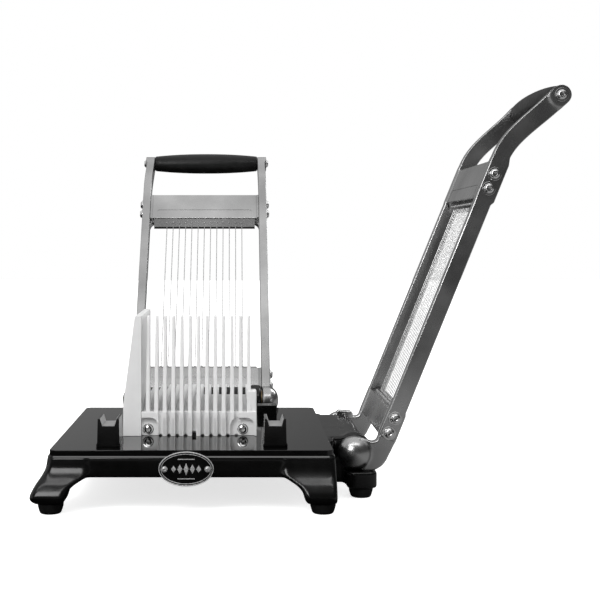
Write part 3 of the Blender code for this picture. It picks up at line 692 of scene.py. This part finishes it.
def comb_foot_mesh(slots):
    """The solid lower part of the comb, with grooves, arches, two screw pockets and a notch."""
    half = SLOT_WIDTH / 2
    foot = box_mesh("foot", (COMB_LEFT, COMB_FRONT, COMB_BOTTOM),
                    (COMB_RIGHT, COMB_REAR, SLOT_FLOOR), 0.6 * MM)
    groove_depth = 4.5 * MM
    cutters = []
    for x in slots[2:-1]:
        cutters.append(box_mesh("groove", (x - half, COMB_FRONT - CLEAR, 0),
                                (x + half, COMB_FRONT + groove_depth, WALL_TOP), 0.5 * MM))
    beyond = 100 * MM
    cutters.append(pocket_mesh(COMB_LEFT - beyond, slots[1] + 7 * MM))
    cutters.append(pocket_mesh(slots[-2] - 6.8 * MM, COMB_RIGHT - 2.4 * MM))
    foot = boolean(foot, cutters)
    arch_r = 1.9 * MM
    cutters = []
    for x in slots[2:-1]:
        place = Matrix.Translation((x, COMB_FRONT + groove_depth, COMB_BOTTOM)) @ facing((0, 1, 0))
        cutters.append(turned_mesh("arch", [(arch_r, -MM), (arch_r, 4 * MM)], place, 20))
    middle = slots[WIRES // 2]
    notch_half = 3.5 * MM
    cutters.append(box_mesh("notch", (middle - notch_half, COMB_FRONT - MM, 0),
                            (middle + notch_half, COMB_REAR + MM, PLATE_TOP + 5 * MM)))
    return boolean(foot, cutters)


def comb_fins(slots):
    """The fins between the slots and one beyond the last; those over a pocket are cut short."""
    half = SLOT_WIDTH / 2
    fins = [fin_mesh(left + half, right - half) for left, right in zip(slots, slots[1:])]
    fins.append(fin_mesh(slots[-1] + half, slots[-1] - half + PITCH))
    below = box_mesh("below", (0, COMB_FRONT - CLEAR, 0),
                     (400 * MM, COMB_REAR + CLEAR, SLOT_FLOOR - 0.5 * MM))
    for i, fin in enumerate(fins):
        if i < 2 or i > len(fins) - 4:
            fins[i] = boolean(fin, [below])
    return fins


def make_front_comb():
    slots = slot_places()
    foot = comb_foot_mesh(slots)
    fins = comb_fins(slots)
    flange_left = slots[-1] + SLOT_WIDTH / 2
    flange = box_mesh("flange", (flange_left + MM, COMB_FRONT + 2 * MM, SLOT_FLOOR - 10 * MM),
                      (COMB_RIGHT, COMB_REAR, PLATE_TOP + 51 * MM), 1.6 * MM)
    make_piece("front_comb_fine", joined([foot, flange] + fins, "front_comb"), "base",
               "white_plastic", ["front_comb"])


def screw_head_mesh(radius, height):
    """A small domed head with a flange ring and a round socket; its seat is at the origin."""
    profile = [(0.4 * radius, -MM), (SCREW_FLANGE * radius, -0.1 * MM),
               (SCREW_FLANGE * radius, 0.18 * height), (radius, 0.22 * height),
               (0.98 * radius, 0.5 * height), (0.8 * radius, 0.86 * height),
               (0.55 * radius, height), (0.44 * radius, height),
               (0.42 * radius, -0.4 * height), (0.05 * radius, -0.45 * height)]
    return turned_mesh("screw", profile, Matrix.Identity(4), 32)


def make_screw(name, axis, depth, radius, height, slot):
    """A screw that looks along -X (axis 0) or -Y (axis 1), seated at a depth in its CAD box."""
    seat = middle_of(name)
    seat[axis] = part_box(name)[0][axis] + depth
    outward = [0, 0, 0]
    outward[axis] = -1
    mesh = screw_head_mesh(radius, height)
    mesh.transform(Matrix.Translation(seat) @ facing(outward))
    make_piece(f"{name}_fine", mesh, "base", slot, [name])


def make_comb_screws():
    depth = 4.3 * MM
    height = 4 * MM
    for name in ("comb_screw_front_left", "comb_screw_front_right"):
        make_screw(name, 1, depth, 5.3 * MM, height, "steel")
    for name in ("comb_screw_side_near", "comb_screw_side_far"):
        low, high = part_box(name)
        make_screw(name, 0, depth, (high[2] - low[2]) / 2 / SCREW_FLANGE, height, "steel")


def offset_notch(notch, floor, by):
    """A notch's outline moved into the post, or out of it where by is negative."""
    return [(x + (by if x > 0 else -by), z if z > floor else z - by) for x, z in notch]


def make_posts():
    """Rest posts with a notch, each with a pale saddle strip that lines the notch."""
    floor = PLATE_TOP + 22.4 * MM
    thin = 0.25 * MM
    for side in ("left", "right"):
        name = f"rest_post_{side}"
        low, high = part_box(name)
        bottom, top = low[2], high[2]
        depth = high[1] - low[1]
        right_edge = [(13 * MM, bottom), (13 * MM, bottom + 2.2 * MM), (12 * MM, bottom + 4 * MM),
                      (11.4 * MM, top)]
        notch = [(8.8 * MM, top), (6.5 * MM, floor), (-6.5 * MM, floor), (-8.8 * MM, top)]
        left_edge = [(-x, z) for x, z in reversed(right_edge)]
        outline = left_edge[-1:] + right_edge + notch + left_edge[:-1]
        place = Matrix.Translation((*middle_of(name)[:2], 0)) @ Matrix.Rotation(math.pi / 2, 4, "X")
        post = plate_mesh(name, outline, depth, 0.6 * MM, place)
        make_piece(f"{name}_fine", post, "base", "black_enamel", [name], finish="cast_enamel")
        strip = offset_notch(notch, floor, thin) + offset_notch(notch, floor, -thin)[::-1]
        saddle = plate_mesh("saddle", strip, depth - 0.6 * MM, 0.05 * MM, place)
        make_piece(f"{name}_saddle", saddle, "base", "black_enamel", finish="saddle")


def make_feet():
    for name in [node for node in frame["nodes"] if node.startswith("foot_")]:
        place = Matrix.Translation((*middle_of(name)[:2], 0))
        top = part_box(name)[1][2]
        ground = 0.05 * MM
        profile = [(4 * MM, top), (13 * MM, top), (13.6 * MM, top - 0.6 * MM),
                   (13.3 * MM, 7.2 * MM), (12.2 * MM, 3.4 * MM), (11.4 * MM, 1.2 * MM),
                   (10.4 * MM, 0.2 * MM), (9.6 * MM, ground), (5.5 * MM, ground),
                   (5 * MM, 2 * MM), (0.5 * MM, 2 * MM)]
        make_piece(f"{name}_fine", turned_mesh(name, profile, place, 48), "base", "rubber", [name])


def oval_mesh(name, profile, half_x, half_z, place, closed=False):
    """Rings of an oval: profile gives each ring's inset from the outer edge and its height."""
    sides = 72
    rings = []
    for inset, height in profile:
        ring = []
        for i in range(sides):
            angle = 2 * math.pi * i / sides
            ring.append(((half_x - inset) * math.cos(angle), (half_z - inset) * math.sin(angle), height))
        rings.append(ring)
    return loft_mesh(name, rings, place, closed)


def lozenge_mesh(column, place):
    """One raised lozenge of the badge's pattern; the columns get shorter away from the middle."""
    tall = (6.2 - 1.3 * abs(column)) * MM
    wide = 2.6 * MM
    centre = column * 6.6 * MM
    rings = []
    for share, height in ((1, BADGE_FIELD), (1, 2.55 * MM), (0.45, 2.9 * MM)):
        outline = ((share * wide, 0), (0, share * tall), (-share * wide, 0), (0, -share * tall))
        rings.append([(centre + x, y, height) for x, y in outline])
    return loft_mesh("mark", rings, place)


def make_badge():
    """An oval plate with a double polished rim, a dark field and a plain lozenge pattern."""
    low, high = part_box("badge_plate")
    x, _, z = middle_of("badge_plate")
    place = Matrix.Translation((x, high[1], z)) @ facing((0, -1, 0))
    half_x = (high[0] - low[0]) / 2
    half_z = (high[2] - low[2]) / 2
    outer = [(0, 1.4), (0, 2.4), (0.35, 2.8), (0.8, 2.8), (1.15, 2.4), (1.15, 1.4)]
    inner = [(2.3, 1.4), (2.3, 2.4), (2.5, 2.6), (2.75, 2.6), (2.95, 2.4), (2.95, 1.4)]
    rims = []
    for section in (outer, inner):
        profile = [(inset * MM, height * MM) for inset, height in section]
        rims.append(oval_mesh("rim", profile, half_x, half_z, place, closed=True))
    make_piece("badge_rim", joined(rims, "rim"), "base", "badge", ["badge_plate"])
    profile = [(0.3 * MM, 0), (0.3 * MM, BADGE_FIELD)]
    field = oval_mesh("field", profile, half_x, half_z, place)
    make_piece("badge_field", field, "base", "badge", finish="cast_enamel")
    marks = [lozenge_mesh(column, place) for column in (-2, -1, 0, 1, 2)]
    for sign in (-1, 1):
        centre = sign * 10.2 * MM
        bar = box_mesh("bar", (-9 * MM, centre - 0.5 * MM, BADGE_FIELD),
                       (9 * MM, centre + 0.5 * MM, 2.7 * MM), 0.2 * MM)
        bar.transform(place)
        marks.append(bar)
    make_piece("badge_pattern", joined(marks, "pattern"), "base", "badge")
    for side in ("left", "right"):
        make_screw(f"badge_screw_{side}", 1, 2.2 * MM, 2.8 * MM, 2.1 * MM, "badge")


def make_painted_reflection_block():
    """A low black block on the plate in front of the back hinge's right ball. It is a painted reflection: it
    stands where the plate mirrors the ball's shaded underside.
    """
    low = (222.5 * MM, 222 * MM, PLATE_TOP - MM)
    high = (246.8 * MM, 242 * MM, PLATE_TOP + 13.7 * MM)
    # Painted reflection: this black block fills in the ball's dark mirror image in the plate.
    make_piece("painted_reflection_block", box_mesh("stop", low, high, 0.8 * MM), "base", "black_enamel",
               finish="cast_enamel")


def soften_plain_nodes():
    """Rounded edges on the white blocks that keep their CAD shape."""
    for name in ("bed_block", "side_comb"):
        bevel = frame["nodes"][name].modifiers.new("edge", "BEVEL")
        bevel.width = 0.35 * MM
        bevel.segments = 2
        bevel.limit_method = "ANGLE"
        bevel.angle_limit = math.radians(50)


def make_hinge_stop():
    """A small T-shaped bright bracket over the far end of the right barrel."""
    outline = [(-5 * MM, 12 * MM), (1.5 * MM, 12 * MM), (2.5 * MM, 9 * MM), (2.5 * MM, -4 * MM),
               (9.5 * MM, -4 * MM), (9.5 * MM, 9 * MM), (10.5 * MM, 12 * MM), (15.5 * MM, 12.5 * MM)]
    outline += arc((11.5 * MM, 17.5 * MM), 4 * MM, 0, 90, 6)
    outline += arc((-2 * MM, 19.5 * MM), 3 * MM, 90, 180, 6)
    depth = 9 * MM
    place = Matrix.Translation(RIGHT_PIVOT + Vector((0, BARREL_HALF - depth / 2 - MM, 0)))
    place = place @ Matrix.Rotation(math.pi / 2, 4, "X")
    make_piece("right_hinge_stop", plate_mesh("stop", outline, depth, 1.2 * MM, place), "base", "steel")


# ---- harps, drawn with the pivot at the origin, +Z along the rails and +Y outward ----
SIDE_ON = Matrix(((0, 0, 1, 0), (0, 1, 0, 0), (1, 0, 0, 0), (0, 0, 0, 1)))


def bezier(points, share):
    rest = 1 - share
    weights = (rest ** 3, 3 * rest ** 2 * share, 3 * rest * share ** 2, share ** 3)
    along = sum(weight * point[0] for weight, point in zip(weights, points))
    out = sum(weight * point[1] for weight, point in zip(weights, points))
    return along, out


def handle_edges(steps=22):
    """The two edges of the S-shaped handle arm, from the straight rail to the grip's centre."""
    guide = [(366 * MM, WIRE_OUT), (396 * MM, WIRE_OUT), (420 * MM, 47 * MM), GRIP_AXIS]
    high_edge = []
    low_edge = []
    for i in range(steps + 1):
        share = i / steps
        a, b = bezier(guide, share)
        before = bezier(guide, max(share - 0.01, 0))
        after = bezier(guide, min(share + 0.01, 1))
        angle = math.atan2(after[1] - before[1], after[0] - before[0])
        half = (9.25 + 1.75 * share) * MM
        high_edge.append((a - half * math.sin(angle), b + half * math.cos(angle)))
        low_edge.append((a + half * math.sin(angle), b - half * math.cos(angle)))
    return high_edge, low_edge, math.degrees(angle)


def hook_outline():
    """The lower end of a rail from the side: the hinge boss and the hook, up to the lower pad."""
    overlap = 2 * MM
    points = arc((0, 0), BOSS_R, 0, -214, 36)
    points += arc((9 * MM, 11.5 * MM), 24 * MM, 178, 90, 16)
    points += [(LOWER_BAR[0] - MM, BAR_BACK), (LOWER_BAR[0] + overlap, BAR_BACK),
               (LOWER_BAR[0] + overlap, BAR_FACE)]
    points += arc((25.3 * MM, 10.8 * MM), 6.4 * MM, 110, 180, 6)
    return points


def rail_outline():
    """The rest of the rail from the side: the straight stretch with two pads, and the S arm."""
    high_edge, low_edge, end_angle = handle_edges()
    pad_low = LOWER_BAR[1] - MM
    pad_high = UPPER_BAR[0] + MM
    pad_end = UPPER_BAR[1] + MM
    ramp = 4 * MM
    points = [(LOWER_BAR[0], BAR_BACK), (pad_low, BAR_BACK), (pad_low + ramp, RAIL_HIGH),
              (pad_high - ramp, RAIL_HIGH), (pad_high, 38 * MM), (pad_end, 38 * MM)]
    points += high_edge[1:-1]
    points += arc(GRIP_AXIS, 11 * MM, end_angle + 90, end_angle - 90, 16)
    points += list(reversed(low_edge[:-1]))
    points += [(pad_end, BAR_FACE), (pad_high, BAR_FACE), (pad_high - ramp, RAIL_LOW),
               (pad_low + ramp, RAIL_LOW), (pad_low, BAR_FACE), (LOWER_BAR[0], BAR_FACE)]
    return points


def bolt_places():
    places = {}
    for label, span in (("lower", LOWER_BAR), ("upper", UPPER_BAR)):
        middle = sum(span) / 2
        places[f"{label}_a"] = middle - BOLT_SPACING / 2
        places[f"{label}_b"] = middle + BOLT_SPACING / 2
    return places


def rail_mesh(sign):
    """A rail from its lower pad to the end of the S arm, with a low boss round the grip's bolt."""
    middle = Vector((sign * (RAIL_INNER + RAIL_THICK / 2), 0, 0))
    place = Matrix.Translation(middle) @ SIDE_ON
    rail = plate_mesh("rail", rail_outline(), RAIL_THICK, 1.1 * MM, place)
    trim = plate_mesh("trim", rail_outline(), 2 * RAIL_THICK, 0.4 * MM, place)
    face = Vector((sign * (RAIL_INNER + RAIL_THICK), GRIP_AXIS[1], GRIP_AXIS[0]))
    height = 2.2 * MM
    profile = [(19 * MM, -MM), (17.5 * MM, 0), (14 * MM, 0.45 * height), (10.6 * MM, height)]
    boss = turned_mesh("boss", profile, Matrix.Translation(face) @ facing((sign, 0, 0)))
    return boolean(rail, [boolean(boss, [trim], "INTERSECT")], "UNION")


def hook_mesh(sign):
    """The cast lower end of a rail: a ball over the hinge that flows into the hook."""
    inset = 0.1 * MM
    middle = Vector((sign * (RAIL_INNER + RAIL_THICK / 2), 0, 0))
    hook = plate_mesh("hook", hook_outline(), RAIL_THICK - 2 * inset, 0.8 * MM,
                      Matrix.Translation(middle) @ SIDE_ON)
    outward = facing((sign, 0, 0))
    radius = BOSS_R - 0.2 * MM
    height = 13.5 * MM
    profile = [(radius, -4 * MM)]
    steps = 14
    for i in range(steps):
        angle = math.pi / 2 * i / steps
        profile.append((radius * math.cos(angle), height * math.sin(angle)))
    base = Matrix.Translation((sign * (RAIL_INNER + RAIL_THICK - 3.5 * MM), 0, 0))
    ball = turned_mesh("ball", profile, base @ outward, 56)
    blended = cast_mesh([hook, ball], 0.8 * MM, 22)
    bore = turned_mesh("bore", [(SHAFT_R + GAP, -4 * MM), (SHAFT_R + GAP, 10.4 * MM)],
                       Matrix.Translation((sign * RAIL_INNER, 0, 0)) @ outward)
    return boolean(blended, [bore])


def clamp_line_mesh(inner_end, direction):
    """A cutter for the thin line round a crossbar's clamp plate."""
    line = 0.8 * MM
    depth = 0.5 * MM
    half = 72 * MM
    high = 8 * MM
    margin = 3 * MM
    middle = (0, inner_end + direction * (high - margin))
    outer = round_rect(half, high + margin, 3 * MM, 6, middle)
    inner = round_rect(half - line, high + margin - line, 2.5 * MM, 6, middle)
    rings = [[(x, BAR_INSET + y, z) for x, z in ring] for ring, y in
             ((outer, -depth), (outer, depth), (inner, depth), (inner, -depth))]
    return loft_mesh("line", rings, closed=True)


def strip_mesh(start, end):
    """The sloping strip on a crossbar's inner side, which holds the wires' ends."""
    half = 77 * MM
    back = 33 * MM
    section = [(BAR_INSET + MM, start), (back, start), (back, end), (28 * MM, end)]
    return loft_mesh("strip", [[(x, y, z) for y, z in section] for x in (-half, half)])


def ridge_mesh(sign, span):
    """A narrow ridge along one end of a crossbar's face, level with the rail's pad."""
    half = RAIL_INNER - GAP
    section = [(half, BAR_INSET + MM), (half, BAR_FACE + 0.4 * MM), (half - MM, BAR_FACE),
               (half - 2.4 * MM, BAR_FACE + 0.3 * MM), (half - 4 * MM, BAR_INSET - 0.1 * MM),
               (half - 4 * MM, BAR_INSET + MM)]
    rings = [[(sign * x, y, z) for x, y in section] for z in (span[0] + MM, span[1] - MM)]
    return loft_mesh("ridge", rings)


def fillet_mesh(sign, start, inner_end):
    """The rounded corner between the upper crossbar and a rail."""
    half = RAIL_INNER - GAP
    radius = 11 * MM
    inner = half - radius - 4 * MM
    corner = [(half, start), (inner, start), (inner, inner_end)]
    corner += arc((half - radius, inner_end - radius), radius, 90, 0, 8)
    rings = [[(sign * x, y, z) for x, z in corner] for y in (25.5 * MM, 35 * MM)]
    return loft_mesh("fillet", rings)


def crossbar_mesh(label, span):
    """A crossbar: its bar with a line in the face, a strip, two ridges and the upper one's fillets."""
    half = RAIL_INNER - GAP
    upper = label == "upper"
    inner_end, direction = (span[0], 1) if upper else (span[1], -1)
    start = inner_end + direction * MM
    end = inner_end - direction * (9.5 * MM if upper else 6.5 * MM)
    bar = box_mesh("bar", (-half, BAR_INSET, span[0]), (half, BAR_BACK, span[1]), 1.2 * MM)
    meshes = [boolean(bar, [clamp_line_mesh(inner_end, direction)]), strip_mesh(start, end)]
    meshes += [ridge_mesh(sign, span) for sign in (-1, 1)]
    if upper:
        meshes += [fillet_mesh(sign, start, inner_end) for sign in (-1, 1)]
    return joined(meshes, "crossbar")


def wire_places():
    """The X of the wires, from the leftmost to the rightmost."""
    return [(i - (WIRES - 1) / 2) * PITCH for i in range(WIRES)]


def anchors_mesh():
    """The small round ends of the wires, on the sloping strips of both crossbars."""
    out = 22.4 * MM
    profile = [(1.1 * MM, -MM), (1.1 * MM, 0.9 * MM), (0.8 * MM, 1.3 * MM), (0.2 * MM, 1.4 * MM)]
    meshes = []
    for along, tilt in ((UPPER_BAR[0] - 5.5 * MM, -1), (LOWER_BAR[1] + 3.2 * MM, 1)):
        for x in wire_places():
            place = Matrix.Translation((x, out, along)) @ facing((0, -1, tilt))
            meshes.append(turned_mesh("anchor", profile, place, 12))
    return joined(meshes, "anchors")


def wires_mesh():
    """The straight wires, each let into both crossbars."""
    curve = bpy.data.curves.new("wires", "CURVE")
    curve.dimensions = "3D"
    curve.bevel_depth = 0.55 * MM
    curve.bevel_resolution = 3
    curve.use_fill_caps = True
    for x in wire_places():
        spline = curve.splines.new("POLY")
        spline.points.add(1)
        spline.points[0].co = (x, WIRE_OUT, LOWER_BAR[1] - 2 * MM, 1)
        spline.points[1].co = (x, WIRE_OUT, UPPER_BAR[0] - 3 * MM, 1)
    return welded(curve, 0.001 * MM)


def grip_mesh():
    """A barrel grip, turned about X, with a rounded end ring."""
    half = RAIL_INNER - GAP
    steps = 36
    end_r = GRIP_END_R + 1.8 * MM
    middle_r = GRIP_R + 0.7 * MM
    edge = 1.6 * MM
    profile = [(BOLT_HEAD_R + GAP, half), (end_r - edge, half), (end_r - 0.3 * edge, half - 0.3 * edge)]
    for i in range(steps + 1):
        x = (half - edge) * (1 - 2 * i / steps)
        bulge = 1 - abs(x / half) ** 2.2
        profile.append((end_r + (middle_r - end_r) * bulge, x))
    profile += [(end_r - 0.3 * edge, 0.3 * edge - half), (end_r - edge, -half), (BOLT_HEAD_R + GAP, -half)]
    place = Matrix.Translation((0, GRIP_AXIS[1], GRIP_AXIS[0])) @ facing((1, 0, 0))
    return turned_mesh("grip", profile, place, 56, closed=True)


def bolt_mesh():
    """A domed head with a flange ring and a hexagon socket; its seat is at the origin."""
    sides = 36
    socket = 2.7 * MM

    def ring(radius, height, hexagon=False):
        points = []
        for i in range(sides):
            angle = 2 * math.pi * i / sides
            reach = radius
            if hexagon:
                sixth = math.pi / 3
                reach = radius * math.cos(sixth / 2) / math.cos(angle % sixth - sixth / 2)
            points.append((reach * math.cos(angle), reach * math.sin(angle), height))
        return points

    high = BOLT_HEAD_HEIGHT
    washer = 1.13 * BOLT_HEAD_R
    rings = [ring(4 * MM, -6 * MM), ring(4 * MM, 0), ring(washer, 0), ring(washer, 0.6 * MM),
             ring(0.96 * washer, 0.9 * MM), ring(0.9 * washer, 0.9 * MM), ring(0.88 * washer, 0.5 * MM),
             ring(0.86 * BOLT_HEAD_R, 0.5 * MM), ring(0.85 * BOLT_HEAD_R, 1.7 * MM),
             ring(0.78 * BOLT_HEAD_R, 2.7 * MM),
             ring(0.66 * BOLT_HEAD_R, 3.5 * MM), ring(0.52 * BOLT_HEAD_R, high - 0.1 * MM),
             ring(0.47 * BOLT_HEAD_R, high), ring(socket, high - 0.1 * MM, True),
             ring(0.96 * socket, high - 0.4 * MM, True), ring(0.96 * socket, high - 2.4 * MM, True),
             ring(0.2 * MM, high - 2.9 * MM)]
    return loft_mesh("bolt", rings)


def screw_places():
    """The seat and direction of every socket screw of one harp, by name."""
    places = {}
    seat = RAIL_INNER + RAIL_THICK
    for side, sign in (("left", -1), ("right", 1)):
        for name, along in bolt_places().items():
            places[f"bolt_{name}_{side}"] = ((sign * seat, WIRE_OUT, along), sign)
        end_seat = seat + 1.6 * MM
        places[f"grip_bolt_{side}"] = ((sign * end_seat, GRIP_AXIS[1], GRIP_AXIS[0]), sign)
    return places


def make_harp(label, place):
    """One harp, placed on its hinge: rails, hooks, crossbars, wires, grip and socket screws."""
    body = f"{label}_frame"

    def add(name, mesh, slot):
        make_piece(f"{label}_{name}_fine", mesh, body, slot, [f"{label}_{name}"], place=place)

    for side, sign in (("left", -1), ("right", 1)):
        add(f"rail_{side}", rail_mesh(sign), "aluminium")
        make_piece(f"{label}_hook_{side}", hook_mesh(sign), body, "aluminium", angle=60, place=place)
    add("lower_crossbar", crossbar_mesh("lower", LOWER_BAR), "aluminium")
    add("upper_crossbar", crossbar_mesh("upper", UPPER_BAR), "aluminium")
    add("wires", wires_mesh(), "wire_steel")
    make_piece(f"{label}_wire_anchors", anchors_mesh(), body, "wire_steel", place=place)
    add("grip", grip_mesh(), "grip_plastic")
    for name, (seat, sign) in screw_places().items():
        mesh = bolt_mesh()
        mesh.transform(Matrix.Translation(seat) @ facing((sign, 0, 0)))
        add(name, mesh, "steel")


# ---- stage ----
def make_floor():
    """Pale to the camera. The parts mirror it as dark, with bright cards right and far in front."""
    bpy.ops.mesh.primitive_plane_add(size=14, location=(0, 0, 0))
    floor = bpy.context.object
    floor.name = "floor"
    shader = Shader("floor_paper", 0.8, 0.8)
    shader.set("Specular IOR Level", 0.0)
    shader.set("Emission Color", (1, 1, 1, 1))
    camera_ray = shader.node("ShaderNodeLightPath").outputs["Is Camera Ray"]
    shader.tint(camera_ray, 0.02, 0.8)
    card_edge = (0.31, 0.4)
    right = shader.ranged(shader.place("X"), 0.0, 0.32, *card_edge)
    right = shader.maths("MULTIPLY", right, shader.ranged(shader.place("Y"), 0.15, 1.0, -1.6, -0.5))
    front = shader.ranged(shader.place("X"), 1.0, 0.0, *card_edge)
    front = shader.maths("MULTIPLY", front, shader.ranged(shader.place("Y"), 0.4, 0.0, -0.62, -0.45))
    cards = shader.maths("MAXIMUM", right, front)
    shader.drive("Emission Strength", shader.mixed(camera_ray, cards, 0.72))
    shader.bump([(shader.noise(60, detail=5), 0.00002)])
    set_material(floor, shader.mat)


def make_world():
    """White to the camera and even to diffuse rays; a dim room with a bright ceiling to mirrors."""
    world = bpy.data.worlds.new("studio")
    world.use_nodes = True
    room = NodeBuilder(world.node_tree)

    def ramp(axis, source, low, high):
        return room.ranged(room.place(axis, "Generated"), low, high, *source, blend="SMOOTHSTEP")

    behind = room.mixed(ramp("X", (-0.35, 0.45), 0.0, 1.0), 0.33, 0.085)
    horizon = room.mixed(ramp("Y", (-0.2, 0.3), 0.0, 1.0), 0.06, behind)
    sides = room.mixed(ramp("X", (-0.9, -0.6), 1.0, 0.0), horizon, 0.8)
    mirrored = room.mixed(ramp("Z", (0.5, 0.92), 0.0, 1.0), sides, 0.85)
    rays = room.node("ShaderNodeLightPath").outputs
    lit = room.mixed(rays["Is Diffuse Ray"], mirrored, 0.92)
    background = world.node_tree.nodes["Background"]
    background.inputs["Color"].default_value = (1, 1, 1, 1)
    room.link(room.mixed(rays["Is Camera Ray"], lit, 1.0), background.inputs["Strength"])
    bpy.context.scene.world = world


def area_light(name, place, aim, size, power):
    data = bpy.data.lights.new(name, "AREA")
    data.shape = "RECTANGLE"
    data.size, data.size_y = size
    data.energy = power
    light = bpy.data.objects.new(name, data)
    light.location = place
    light.rotation_euler = (Vector(aim) - Vector(place)).to_track_quat("-Z", "Y").to_euler()
    bpy.context.scene.collection.objects.link(light)
    return light


def make_lights():
    """A soft key from the front left, a long strip above the front, a rim light and a low light."""
    aim = (0.15, 0.15, 0.1)
    key = area_light("key", (-0.9, -1.5, 1.7), aim, (0.8, 0.8), 20)
    # Mirrored in a harp that leans towards it, the key would burn its faces out.
    key.visible_glossy = False
    area_light("strip", (0.15, -1.0, 1.5), aim, (2.2, 0.22), 6)
    area_light("rim", (1.5, 1.2, 1.3), aim, (0.5, 1.2), 8)
    low = area_light("low", (-0.3, -1.2, 0.75), (0.15, 0, 0.04), (0.5, 0.5), 6)
    # It only makes highlights.
    low.visible_diffuse = False


def make_camera():
    """A level view from the front, a little right of the plate's middle, with a lens shift."""
    data = bpy.data.cameras.new("camera")
    data.lens = 66
    data.sensor_fit = "VERTICAL"
    data.sensor_height = 36
    data.sensor_width = 27
    data.shift_x = 0.1108
    data.shift_y = -0.0967
    camera = bpy.data.objects.new("camera", data)
    camera.location = (0.1925, -1.1587, 0.285)
    camera.rotation_euler = (math.pi / 2, 0, 0)
    bpy.context.scene.collection.objects.link(camera)
    bpy.context.scene.camera = camera


for row in frame["record"]["subparts"]:
    set_material(frame["nodes"][row["node"]], MATS[row["material_slot"]])
make_casting()
make_base_top()
make_front_comb()
make_comb_screws()
make_posts()
make_feet()
make_badge()
# The black block in front of the back hinge's right ball is a painted reflection.
make_painted_reflection_block()
soften_plain_nodes()
make_hinge_stop()
make_harp("back", BACK_PLACE)
make_harp("right", RIGHT_PLACE)
make_floor()
make_world()
make_lights()
make_camera()
bpy.context.scene.view_settings.view_transform = "Standard"
